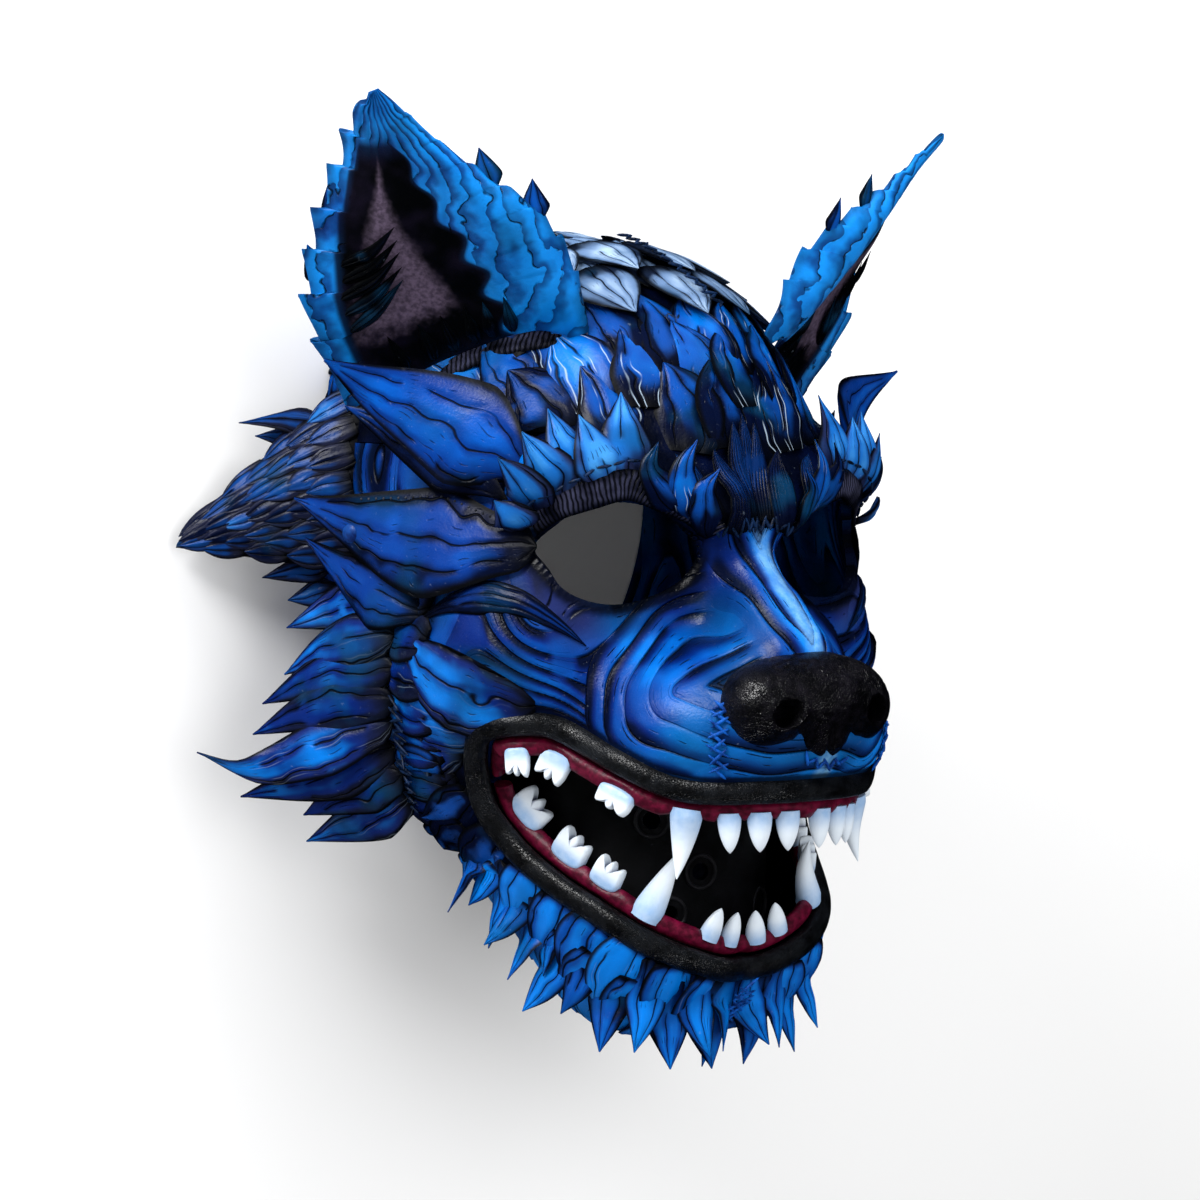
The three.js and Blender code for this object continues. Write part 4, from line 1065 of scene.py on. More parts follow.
# Scales on the side of the face, between the cheek's grooves and the mane: root, tip, width and tone
CHEEK_SCALES = [
    [[70, -52, 120], [93, -30, 70], 34, 0.74], [[80, -64, 102], [96, -46, 60], 30, 0.68],
    [[83, -74, 92], [95, -62, 56], 27, 0.55], [[82, -84, 84], [91, -80, 50], 25, 0.45],
    [[76, -93, 80], [86, -95, 48], 24, 0.3],
]
cheek_scales = [leaf(root, tip, width, 2.6, 3.0, tone, 0.6, 3.0, bend=-4, stem=0.12)
                for root, tip, width, tone in CHEEK_SCALES]
pair("cheek_scales", merge(cheek_scales), blade_looks["mane_leather"], "face_leather")

ground_look = flow_look("ground_blue")
for node, slot, rows, edges in [
    ("forehead", "forehead_leather", forehead_rows, [past(over_seam, 1, BROW_SEAM), past(over_hairline, -1)]),
    ("crown", "crown_leather", crown_rows, [past(over_hairline, 1)]),
    ("jaw", "face_leather", jaw_rows, [past(over_seam, -1, LIP_SEAM), outside_mouth]),
]:
    points, tris = panel(COARSE, *edges)
    relief = GROUND_RELIEF * noise(points, 7, 11)
    layers = {key: np.full(len(points), float(value)) for key, value in GROUND.items()}
    leaves = merge(rows())
    leather_panel(node + "_skin", points, tris, relief, layers, ground_look, slot, node)
    piece(node + "_skin_leaves", leaves, blade_looks[slot], slot)


# Ears: cupped sheets with jagged edges. Each row runs from the inner edge over the fold and through the
# hollow to the outer edge.
EAR_ROWS = [
    [[37, 72, 103], [54, 78, 100], [70, 70, 70], [87, 58, 50], [102, 48, 42]],
    [[43, 86, 108], [60, 90, 109], [80, 90, 80], [104, 84, 58], [121, 84, 50]],
    [[52, 104, 109], [72, 105, 112], [91, 106, 88], [110, 104, 68], [122, 104, 54]],
    [[69, 120, 112], [85, 119, 112], [98, 119, 94], [112, 118, 80], [123, 120, 64]],
    [[87, 130, 109], [98, 131, 109], [106, 132, 98], [115, 134, 88], [122, 137, 76]],
    [[110, 145, 105], [113, 146, 105], [117, 146, 101], [121, 147, 96], [126, 148, 90]],
    [[126, 158, 104], [126.6, 157.6, 103.6], [127.2, 157.2, 103], [127.8, 156.8, 102.4],
     [128.4, 156.4, 102]],
]
EAR_SPIKES = [
    [[82, 124, 109], [85, 131, 109], [88, 140, 108]], [[64, 114, 111], [67, 121, 112], [69, 130, 113]],
    [[116, 92, 52], [120, 98, 52], [125, 107, 53]], [[115, 112, 62], [119, 119, 62], [121.5, 129, 62]],
]
EAR_FACING = (0.3, -0.4, 0.86)
FLAP_ROWS = [
    [[78, 60, 12], [84, 34, 18], [86, 10, 20], [84, -12, 18]],
    [[94, 45, 0], [100, 28, 6], [102, 10, 8], [99, -10, 4]],
    [[116, 22, -12], [118, 14, -8], [119, 6, -7], [118, -7, -9]],
    [[139, -2, -20], [139.3, -2.6, -20], [139.6, -3.2, -20], [140, -4, -20]],
]
FLAP_TUFTS = [
    [[84, 42, 4], [102, 44, -4], [119, 43, -10]], [[84, 38, -2], [100, 38, -8], [110, 38, -14]],
    [[84, -8, 8], [98, -12, 0], [112, -15, -4]], [[84, -18, 6], [92, -22, -2], [100, -24, -6]],
]


def dense(rows, height, width):
    """A smooth grid of points through a coarse one"""
    across = np.stack([smooth_curve(row, width) for row in rows])
    return np.stack([smooth_curve(across[:, i], height) for i in range(width)], 1)


def sheet(grid, thick, relief, layers):
    """A sheet of leather, with a relief on its front"""
    down, over = np.gradient(grid, axis=0), np.gradient(grid, axis=1)
    normal = unit(np.cross(over, down))
    rows, columns, _ = grid.shape
    v, u = np.meshgrid(np.linspace(0, 1, rows), np.linspace(0, 1, columns), indexing="ij")
    rim = np.minimum(np.minimum(u, 1 - u) * 14, np.minimum(v, 1 - v) * 14).clip(0, 1)
    half = (thick / 2 * (0.35 + 0.65 * np.sqrt(rim)))[..., None]
    front = grid + normal * (half + relief[..., None])
    rear = grid - normal * half
    tris = grid_tris(rows, columns)
    flat = {k: np.ravel(x) for k, x in {"across": u * 2 - 1, "along": v, **layers}.items()}
    p, t, l, _ = shell(front.reshape(-1, 3), rear.reshape(-1, 3), tris, flat)
    return p, facing_out(p, t), l


def ear_grid(rows, columns):
    grid = dense(EAR_ROWS, rows, columns)
    v = np.linspace(0, 1, rows)[:, None, None]
    u = np.linspace(0, 1, columns)[None, :, None]
    inner = unit(grid[:, :1] - grid[:, 4:5])
    outer = unit(grid[:, -1:] - grid[:, -5:-4])
    rise = unit(np.gradient(grid[:, :1], axis=0))
    # The points of the inner and the outer edge: how many, where they start, how far they stand out and
    # how far they reach over the ear
    for way, count, shift, low, high, out, from_edge, reach in [
        (inner, 9.0, 0.0, 0.12, 0.3, 4.5, u, 0.1), (outer, 8.0, 0.3, 0.05, 0.2, 3.5, 1 - u, 0.08),
    ]:
        saw = ((v * count + shift) % 1.0) ** 1.5 * smoothstep(v, low, high) * smoothstep(v, 1.0, 0.9)
        grid = grid + (way * out + rise * 3) * saw * np.exp(-from_edge / reach)
    return grid


EAR_COUNT = ((150, 96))
ear_mesh = ear_grid(*EAR_COUNT)
ear_v, ear_u = np.meshgrid(np.linspace(0, 1, EAR_COUNT[0]), np.linspace(0, 1, EAR_COUNT[1]), indexing="ij")
hollow_edge = 0.3 + 0.3 * ear_v + 0.03 * np.sin(ear_v * 40)
hollow = smoothstep(ear_u - hollow_edge, -0.02, 0.03) * smoothstep(ear_u, 0.93, 0.87)
hollow = hollow * smoothstep(ear_v, 0.86, 0.74)
ear_flow = ear_u * 9 + 0.4 * np.sin(ear_v * 11) + 4.5 * ear_v
locks_on_ear = np.abs(np.sin(np.pi * ear_flow))
ear_relief = (0.4 * locks_on_ear ** 0.6 - 0.2) * (1 - hollow)
ear_part = sheet(ear_mesh, LEATHER, ear_relief, {"hollow": hollow, "flow": ear_flow})


def ear_look():
    look = Look("ear")
    across, along, hollow = look.layer("across"), look.layer("along"), look.layer("hollow")
    within = look.layer("within")
    wander = look.noise(10) - 0.5
    f = (look.layer("flow") + wander * 2.0).part()
    line = (1.0 - f.step(0.01, 0.1)).either(f.step(0.95, 1.0)) * look.noise(8).step(0.46, 0.58)
    shade = f.step(0.3, 1.0)
    light = look.noise(22) * 1.3 - shade * 0.3 + 0.06
    edge = across.size().step(0.9, 1.0)
    blue = look.coats(
        ULTRA, (paint(2, 76, 154), light.step(-0.1, 0.4)), (paint(10, 122, 206), light.step(0.3, 0.8)),
        (TEAL, look.noise(17).step(0.5, 0.75) * 0.5),
        (NAVY, (shade * 0.5).either(hollow.step(0.0, 0.5) * 0.9)), (BLACK, line.either(edge * 0.5) * 0.92),
    )
    ragged = (look.noise(5) - 0.5) * 0.12
    middle = (across - 0.34 - along * 0.2).size() + ragged
    wedge = middle - (0.74 - along) * 0.7
    patch = (1.0 - wedge.step(-0.1, 0.04)) * (along + ragged).step(0.14, 0.24)
    satin = look.coats(
        BLACK, (paint(16, 12, 28), look.noise(14).step(0.4, 0.8)),
        (paint(98, 84, 106), patch * (look.noise(1.6, 3.0).step(0.3, 0.7) * 0.5 + 0.4)),
    )
    colour = look.mix(blue, satin, hollow * (1.0 - within))
    normal = look.grained(0.0 - (line + shade * 0.4) * (1.0 - hollow), 2.6, SKIN_GRAIN)
    return look.finish(colour, look.noise(6) * 0.15 + 0.3, normal, LEATHER_GLOSS)


pair("ear_flap", ear_part, ear_look(), "ear_leather", "ear")
spikes = merge([lock(path, 11, 3, 16, EAR_FACING) for path in EAR_SPIKES])
pair("ear_spikes", spikes, blade_looks["ear_leather"], "ear_leather")

# A crimped band along the root of the ear, with dark hairs inside its hollow
EAR_BAND = [[102, 48, 44], [88, 60, 55], [72, 72, 74], [56, 80, 98], [40, 76, 106]]


def on_ear(v, u, lift):
    i, j = int(v * (EAR_COUNT[0] - 1)), int(u * (EAR_COUNT[1] - 1))
    over = ear_mesh[i, j + 1] - ear_mesh[i, j]
    down = ear_mesh[i + 1, j] - ear_mesh[i, j]
    return ear_mesh[i, j] + unit(np.cross(over, down)) * lift


# Hairs on the outer wall and on the floor of the hollow: each runs over three spots, given by height,
# width and lift
WALL_HAIRS = (0.22, 0.27, 0.32, 0.37, 0.42)
FLOOR_HAIRS = (0.3, 0.38, 0.46, 0.55, 0.64, 0.75)
wall_hairs = [[(v, 0.9, 1), (v + 0.05, 0.78, 4), (v + 0.13, 0.68, 3)] for v in WALL_HAIRS]
floor_hairs = [[(0.02, u, 1), (0.08, u, 3), (0.17, u + 0.02, 2)] for u in FLOOR_HAIRS]
ear_hairs = []
for tone, lines in ((0.2, wall_hairs), (0.1, floor_hairs)):
    for line in lines:
        path = [on_ear(*spot) for spot in line]
        ear_hairs.append(lock(path, 6, 1.6, 12, EAR_FACING, tone, root=0.6))

# Side flap, with scales on its front
FLAP_COUNT = (50, 40)
SCALE_ROWS = 7
SCALE_REACH = 0.24
SCALE_LIFT = 1.6
flap_grid = dense(FLAP_ROWS, *FLAP_COUNT)
flap_layers = {"tone": np.full(FLAP_COUNT, 0.4), "seed": np.full(FLAP_COUNT, 0.3)}
flap_part = sheet(flap_grid, LEATHER, np.zeros(FLAP_COUNT), flap_layers)


def on_grid(grid, v, u):
    """The point and the outward direction of a smooth grid at a share of its height and width"""
    i, j = v * (grid.shape[0] - 1), u * (grid.shape[1] - 1)
    a, b = int(min(i, grid.shape[0] - 2)), int(min(j, grid.shape[1] - 2))
    s, t = i - a, j - b
    top = grid[a, b] * (1 - t) + grid[a, b + 1] * t
    low = grid[a + 1, b] * (1 - t) + grid[a + 1, b + 1] * t
    normal = unit(np.cross(grid[a, b + 1] - grid[a, b], grid[a + 1, b] - grid[a, b]))
    return top * (1 - s) + low * s, normal


def scale_on(grid, v, u, width, tone):
    """A leaf on a grid, from a place on it outwards"""
    steps = np.linspace(0, 1, 9)
    spots = [on_grid(grid, min(v + SCALE_REACH * s, 0.99), u) for s in steps]
    line = np.array([p + n * (SCALE_LIFT + SCALE_LIFT * s) for (p, n), s in zip(spots, steps)])
    body = 0.7 + 0.3 * np.sin(np.pi * steps * 0.9)
    return blade(line, width * np.maximum(body * (1 - steps ** 2.8) ** 0.75, 0.04), 2.6, spots[4][1], tone)


scales = []
for row in range(SCALE_ROWS):
    for k in range(6 - row // 2):
        u = min((k + 0.5 + 0.5 * (row % 2)) / (6.5 - row // 2), 0.96)
        tone = 0.4 + vary(0.2)
        scales.append(scale_on(flap_grid, 0.02 + row * 0.12, u, 13 - row * 0.8, tone))
tufts = [lock(path, 13, 4, 16) for path in FLAP_TUFTS]
flap = merge([flap_part] + scales + tufts)
pair("flap", flap, blade_looks["flap_leather"], "flap_leather", "side_flap")

# Locks that sweep back from the eye and cheek
TEMPLE_LOCK = [[66, 24, 122], [80, 36, 106], [94, 47, 90], [110, 56, 78], [130, 66, 75]]
TEMPLE_UNDERLOCK = [[76, 18, 110], [88, 32, 90], [100, 42, 72], [112, 50, 58]]
CHEEK_LOCK_UPPER = [[72, 2, 123], [86, 2, 100], [96, 3, 78], [105, 8, 54], [117, 16, 30]]
CHEEK_LOCK_LOWER = [[92, -24, 82], [98, -20, 64], [102, -12, 44], [108, 1, 22]]
CHEEK_BAND = [[93, -25, 80], [88, -18, 98], [78, -17, 116], [68, -24, 128], [60, -32, 138]]
UPPER_LOCK_STATIONS = 34
lock_skin = blade_looks["lock_leather"]
temple = merge([
    lock(TEMPLE_LOCK, 40, 4.5, 34, tone=0.58, root=0.15),
    lock(TEMPLE_UNDERLOCK, 26, 4.5, 26, tone=0.3, root=0.15),
])
pair("temple", temple, lock_skin, "lock_leather", "temple_lock")
upper_lock = lock(CHEEK_LOCK_UPPER, 42, 4.5, UPPER_LOCK_STATIONS, tone=0.5, root=0.45, peak=0.4)
pair("cheek_upper", upper_lock, lock_skin, "lock_leather", "cheek_lock_upper")
cheek_band = on_head(smooth_curve(CHEEK_BAND, 9), 1.2)
lower_lock = merge([
    lock(cheek_band, 13, 3.0, 30, tone=0.36, root=0.3, peak=0.4),
    lock(CHEEK_LOCK_LOWER, 26, 4.5, 26, tone=0.58, root=0.3),
])
pair("cheek_lower", lower_lock, lock_skin, "lock_leather", "cheek_lock_lower")

# Brow
BROW_LEAVES = [
    [[74, 8, 118], [81, 12, 120], [86, 18, 117]], [[70, 14, 122], [78, 23, 124], [86, 33, 119]],
    [[65, 18, 129], [73, 29, 131], [80, 42, 125]], [[59, 21, 135], [66, 35, 134], [70, 50, 126]],
    [[52, 23, 139], [58, 35, 139], [61, 48, 132]], [[45, 25, 143], [47, 40, 140], [44, 56, 133]],
]
BROW_STRIP = [[75, 7, 115], [68, 16, 126], [58, 21, 135], [46, 24, 142]]
BROW_CURLS = [
    [[24, 13, 149], [36, 22, 149], [42, 30, 148], [39, 39, 149]],
    [[21, 9, 149], [29, 19, 151], [31, 30, 153], [26, 40, 154]],
    [[18, 5, 149], [22, 13, 153], [24, 22, 156], [19, 30, 158]],
]
CURL_STRIP = [[42, 22, 145], [33, 18, 149], [24, 11, 153], [19, 6, 154]]
brow_parts = [lock(path, 21, 3.2, 18, tone=0.66, root=0.6) for path in BROW_LEAVES]
curl_parts = [lock(path, 15, 4, 18, tone=0.42, root=0.5) for path in BROW_CURLS]
pair("brow_fan", merge(brow_parts), blade_looks["brow_leather"], "brow_leather", "brow_leaves")
pair("brow_curl", merge(curl_parts), blade_looks["forehead_leather"], "brow_leather", "brow_curls")
band_path = [[72, 11, 119]] + BROW_STRIP[1:] + CURL_STRIP[1:]
pair("brow_band", strip(band_path, 11, 1.6, 2.4, 60), fringe_look, "brow_leather")
pair("ear_band", strip(EAR_BAND, 9, 2.2, 2.4, 50), fringe_look, "ear_leather")
pair("ear_hair", merge(ear_hairs), dark_hair_look, "ear_leather")
hairs = []
for k in range(-3, 4):
    root = on_head(vec(k * 4.6, 11.5 - 0.1 * abs(k), 152 - 1.2 * abs(k)))
    tip = walk(root, vec(k * 0.03, 1, -0.4), 38 - 2 * abs(k))
    hairs.append(leaf(root, tip, 11, 3.0, 2.0, 0.35 + 0.15 * (k % 2), 1.4, 4.0))
piece("brow_hair", merge(hairs), hair_look, "forehead_leather")

# Cheek mane
MANE_TUFTS = [
    [[92, -18, 62], [100, -24, 34], [109, -33, 10]], [[95, -32, 66], [106, -38, 38], [112, -50, 14]],
    [[95, -44, 66], [108, -48, 38], [119, -61, 10]], [[94, -56, 64], [110, -60, 38], [124, -72, 12]],
    [[92, -64, 60], [112, -76, 38], [130, -84, 20], [145, -78, 8]],
    [[90, -74, 58], [106, -86, 36], [129, -95, 12]],
    [[88, -84, 60], [98, -92, 40], [108, -102, 22]], [[82, -92, 56], [90, -104, 34], [100, -114, 10]],
]
MANE_STRIP = [[93, -16, 64], [97, -44, 70], [90, -74, 64], [80, -98, 54]]
mane_parts = [strip(MANE_STRIP, 24, 1.0, tone=0.1)]
mane_parts += [lock(path, 22, 4.5, 26, tone=0.62, root=0.6) for path in MANE_TUFTS]
for spot in on_head(smooth_curve(MANE_STRIP, 7)):
    front = on_head(spot + vec(0, -2, 19))
    rear = walk(spot, vec(0.3, -0.12, -1), 22)
    tone = 0.5 + RNG.uniform(-0.2, 0.25)
    mane_parts.append(leaf(front, rear, 23, 3.6, 3.0, tone, 1.4, 3.2, 2.0, -0.12, 0.4))
pair("mane", merge(mane_parts), blade_looks["mane_leather"], "mane_leather", "cheek_mane")

# Beard: tufts that hang from a strip under the jaw
BEARD_TUFTS = [
    [(70, -115, 72), 14], [(62, -124, 84), 15], [(53, -133, 97), 16], [(43, -141, 108), 17],
    [(33, -148, 121), 18], [(22, -153, 130), 19], [(11, -157, 135), 20],
]
BEARD_TIP = [[0, -156, 142], [0, -174, 134], [0, -189, 127]]
BEARD_RIM = [[72, -112, 72], [52, -134, 98], [30, -150, 126]]
CHIN_RIM = [0, -158, 136]


def beard_tuft(root, long, width, tone):
    start = on_head(root, -3.0)
    heading = unit(slope_of(head, start) + vec(0, -1.9, 0))
    curl = vec(RNG.uniform(-0.15, 0.3), 0, RNG.uniform(-0.35, 0.1)) * long
    above = on_head(start + vec(0, 10, 3), 0.8)
    path = [above] + [start + heading * long * t + curl * t * t for t in (0.32, 0.64, 1)]
    return lock(path, width, 3.6, 18, tone=tone, root=0.6, peak=0.5)


beard_parts = [lock(BEARD_TIP, 13, 4, 18, tone=0.8, root=0.8)]
for step, (root, long) in enumerate(BEARD_TUFTS):
    last = step + 1 == len(BEARD_TUFTS)
    following = vec(*(CHIN_RIM if last else BEARD_TUFTS[step + 1][0]))
    for share, drop, width in ((0.0, 0, 17), (0.5, 3, 15)):
        spot = vec(*root) * (1 - share) + following * share + vec(0, drop + 2, drop + 3)
        tuft = beard_tuft(spot, long - drop + 10 + vary(3), width, RNG.uniform(0.5, 0.95))
        beard_parts += [tuft, mirrored(tuft)]
rim_path = BEARD_RIM + [CHIN_RIM] + [[-x, y, z] for x, y, z in BEARD_RIM[::-1]]
beard_parts.append(strip(rim_path, 12, 1.2, 2.6, 90, 0.1))
piece("beard_tufts", merge(beard_parts), blade_looks["beard_leather"], "beard_leather", "beard")

# Stitches, rivets and rings: one small form set on many points by geometry nodes
SCATTER_SEED = 1


def scatter(name, form, spots, heading, facing, size, radius, length, jitter, look):
    """Copies of a form as one plain mesh. Each stands along its heading, with its x axis to its facing."""
    layers = {"heading": unit(heading), "facing": unit(facing), "size": size}
    thing = make_object(name, (spots, np.zeros((0, 3), int), layers))
    group = bpy.data.node_groups.new(name, "GeometryNodeTree")
    sockets = group.interface
    sockets.new_socket("Geometry", in_out="INPUT", socket_type="NodeSocketGeometry")
    wanted = {"Radius": radius / 1000, "Length": length / 1000, "Jitter": jitter, "Seed": SCATTER_SEED}
    names = {}
    for label, value in wanted.items():
        kind = "NodeSocketInt" if label == "Seed" else "NodeSocketFloat"
        names[label] = sockets.new_socket(label, in_out="INPUT", socket_type=kind).identifier
    sockets.new_socket("Geometry", in_out="OUTPUT", socket_type="NodeSocketGeometry")

    def node(kind, inputs, **settings):
        return add_node(group, kind, settings, inputs)

    given = node("NodeGroupInput", {}).outputs
    if form == "ring":
        circle = node("GeometryNodeCurvePrimitiveCircle", {"Resolution": 28, "Radius": given["Radius"]})
        section = node("GeometryNodeCurvePrimitiveCircle", {"Resolution": 8, "Radius": given["Length"]})
        curves = {"Curve": circle.outputs[0], "Profile Curve": section.outputs[0]}
        shape = node("GeometryNodeCurveToMesh", curves).outputs[0]
    else:
        segments, rings = (8, 5) if form == "thread" else (24, 12)
        ball = node("GeometryNodeMeshUVSphere", {"Segments": segments, "Rings": rings, "Radius": 1.0})
        sizes = {"X": given["Radius"], "Y": given["Radius"], "Z": given["Length"]}
        stretch = node("ShaderNodeCombineXYZ", sizes)
        inputs = {"Geometry": ball.outputs[0], "Scale": stretch.outputs[0]}
        shape = node("GeometryNodeTransform", inputs).outputs[0]

    def attribute(key, kind):
        return node("GeometryNodeInputNamedAttribute", {"Name": key}, data_type=kind).outputs["Attribute"]

    axes = {"Primary Axis": attribute("heading", "FLOAT_VECTOR"),
            "Secondary Axis": attribute("facing", "FLOAT_VECTOR")}
    turned = node("FunctionNodeAxesToRotation", axes, primary_axis="Z", secondary_axis="X")
    low = node("ShaderNodeMath", {0: 1.0, 1: given["Jitter"]}, operation="SUBTRACT").outputs[0]
    high = node("ShaderNodeMath", {0: 1.0, 1: given["Jitter"]}, operation="ADD").outputs[0]
    chance = node("FunctionNodeRandomValue", {"Seed": given["Seed"]}, data_type="FLOAT")
    group.links.new(low, chance.inputs[2])
    group.links.new(high, chance.inputs[3])
    sized = {0: attribute("size", "FLOAT"), 1: chance.outputs[1]}
    tall = node("ShaderNodeMath", sized, operation="MULTIPLY")
    scale = node("ShaderNodeCombineXYZ", {"X": 1.0, "Y": 1.0, "Z": tall.outputs[0]})
    copies = node("GeometryNodeInstanceOnPoints", {
        "Points": given["Geometry"], "Instance": shape,
        "Rotation": turned.outputs[0], "Scale": scale.outputs[0],
    })
    real = node("GeometryNodeRealizeInstances", {"Geometry": copies.outputs[0]})
    painted = node("GeometryNodeSetMaterial", {"Geometry": real.outputs[0], "Material": look})
    node("NodeGroupOutput", {"Geometry": painted.outputs[0]})
    modifier = thing.modifiers.new("copies", "NODES")
    modifier.node_group = group
    for label, value in wanted.items():
        modifier[names[label]] = value
    plain(thing)
    thing.data.shade_smooth()
    return thing


def stitch_run(path, gap, lean, lift, size):
    """Stitches that cross a line on the head, leaning one way and then the other"""
    rough = smooth_curve(path, 60)
    length = np.linalg.norm(np.diff(rough, axis=0), axis=1).sum()
    line = on_head(smooth_curve(path, max(int(length / gap), 3)), lift)
    along = unit(np.gradient(line, axis=0))
    facing = slope_of(head, line)
    side = unit(np.cross(facing, along))
    sign = np.where(np.arange(len(line)) % 2, 1, -1)[:, None]
    heading = unit(side + along * lean * sign + RNG.normal(0, 0.12, line.shape))
    return line, heading, facing, np.full(len(line), size)


def reflected(run):
    line, heading, facing, size = run
    flip = vec(*FLIP)
    return line * flip, heading * flip, facing * flip, size


def joined(runs):
    return [np.concatenate(values) for values in zip(*runs)]


def hairline(side):
    turn = np.radians(np.linspace(0, 62, 9))
    x, z = 84 * np.sin(turn), 20 + 112 * np.cos(turn)
    path = np.stack([side * x, HAIRLINE_Y + HAIRLINE_RISE * (z - RIM_Z), z], 1)
    for _ in range(3):
        path = on_head(path)
        path[:, 1] = HAIRLINE_Y + HAIRLINE_RISE * (path[:, 2] - RIM_Z)
    return path


NOSE_STITCHES = [[-33, -50, 181], [-34, -60, 180], [-32, -71, 178]]
LIP_STITCHES = [[-8, -68, 195], [-1, -71, 196], [8, -70, 195]]
CHIN_STITCHES = [[0, -153, 150], [0, -159, 147], [0, -167, 142]]
BRIDGE_STITCHES = [[-17, 12, 148], [-9, 11, 153], [0, 10, 156], [9, 11, 153], [17, 12, 148]]
MANE_STITCHES = [[93, -56, 68], [90, -70, 65], [86, -84, 60], [81, -96, 55]]
CROWN_STITCHES = [[8, 82, 114], [4, 90, 100], [1, 97, 86], [-2, 103, 70]]
TEMPLE_STITCHES = [[98, -20, 50], [99, -30, 46], [99, -40, 44], [97, -52, 46]]
FAN_STITCHES = [[75, 12, 116], [69, 22, 125], [58, 27, 133], [45, 30, 141]]
LACE_RADIUS = 0.65
LACE_HALF_LENGTH = 2.3
LACE_JITTER = 0.2
fan_path = on_head(smooth_curve(FAN_STITCHES, 12))
dark_runs, blue_runs = [], []
# Each run of stitches: its path, gap, lean, lift and size, and whether it has a mirror image
for runs, path, gap, lean, lift, size, doubled in [
    (dark_runs, hairline(1), 2.2, 0.9, 2.0, 1.0, False),
    (dark_runs, hairline(-1), 2.2, 0.9, 2.0, 1.0, False),
    (dark_runs, CROWN_STITCHES, 2.0, 0.6, 8.5, 1.3, False),
    (dark_runs, BRIDGE_STITCHES, 1.8, 0.5, 2.0, 1.4, False),
    (blue_runs, CHIN_STITCHES, 1.6, 0.8, 7.6, 2.6, False),
    (blue_runs, LIP_STITCHES, 2.0, 0.8, 1.2, 1.2, False),
    (blue_runs, NOSE_STITCHES, 1.5, 0.7, 1.4, 1.9, True),
    (dark_runs, MANE_STITCHES, 2.0, 0.3, 5.6, 2.2, True),
    (dark_runs, fan_path, 4.4, 6.0, 5.0, 1.1, True),
    (dark_runs, TEMPLE_STITCHES, 2.4, 0.6, 5.0, 1.1, True),
]:
    one = stitch_run(path, gap, lean, lift, size)
    runs += [one, reflected(one)] if doubled else [one]
for name, runs, material in [
    ("stitches", dark_runs, dark_lace_look), ("blue_stitches", blue_runs, blue_lace_look),
]:
    laces = scatter(name, "thread", *joined(runs), LACE_RADIUS, LACE_HALF_LENGTH, LACE_JITTER, material)
    finish_piece(laces, material, None)

RIVET_RADIUS = 4.0
RIVET_HALF_HEIGHT = 2.4
RIVET_LIFT = 2.7
DOT_RADIUS = 0.55
DOT_HALF_HEIGHT = 0.4


def scatter_pair(names, form, spots, ways, radius, length, material, slot, nodes=None):
    """Copies of a form on one side of the mask and their mirror images"""
    for k, flip in enumerate((vec(1, 1, 1), vec(*FLIP))):
        heading = ways * flip
        one = scatter(names[k], form, spots * flip, heading, np.cross(heading, vec(0, 0, 1)),
                      np.ones(len(spots)), radius, length, 0.0, material)
        finish_piece(one, material, slot, *(nodes[k:k + 1] if nodes else []))


# Rivets that hold the locks and the jaw: three pairs of low domes, of which the last, on the jaw, is grey
RIVETS = [([87, -2, 28], rivet_look), ([88, -41, 48], rivet_look), ([80, -100, 42], grey_rivet_look)]
for number, (place, material) in enumerate(RIVETS, 1):
    nodes = [f"rivet_{number}_left", f"rivet_{number}_right"]
    spot = on_head(vec(*place)[None], RIVET_LIFT)
    scatter_pair([node + "_dome" for node in nodes], "dome", spot, slope_of(head, spot),
                 RIVET_RADIUS, RIVET_HALF_HEIGHT, material, "rivet", nodes)

# Two more domes on each side, where they show: on the upper cheek lock and at the hinge of the jaw
LOCK_RIVETS = vec([105.5, 4, 52], [95, -41, 50])
LOCK_RIVET_WAYS = unit(vec([0.96, -0.05, 0.28], [0.97, -0.1, 0.2]))
scatter_pair(["lock_rivets_left", "lock_rivets_right"], "dome", LOCK_RIVETS, LOCK_RIVET_WAYS,
             RIVET_RADIUS, RIVET_HALF_HEIGHT, rivet_look, "rivet")

# Punched dots along the upper edge of the upper cheek lock
DOT_PLACES = range(4, 25)
EDGE_POINT = 9
ring_points = upper_lock[0][:UPPER_LOCK_STATIONS * len(ROUND)]
lock_rings = ring_points.reshape(UPPER_LOCK_STATIONS, len(ROUND), 3)
dots = np.array([lock_rings[i, EDGE_POINT] for i in DOT_PLACES])
scatter_pair(["lock_dots_left", "lock_dots_right"], "thread", dots, slope_of(head, dots),
             DOT_RADIUS, DOT_HALF_HEIGHT, grey_rivet_look, None)

# Lip band, gums and teeth stand in the frames of the lip
def lip_tube(order, inside, out, closed=False):
    """A tube along the lip, whose section is given by how far inside the lip and how far out it lies"""
    rings = lip_line[order][:, None] + lip_inside[order][:, None] * inside[..., None]
    rings = rings + lip_out[order][:, None] * out[..., None]
    return tube(rings, {}, closed)


stations = np.arange(LIP_STATIONS)
lip_ring = smooth_curve(LIP_SECTION, 18, True)[None]
lip_part = lip_tube(stations, lip_ring[..., 0], lip_ring[..., 1], True)
piece("lip", lip_part, lip_look, "lip_leather", "lip_band")

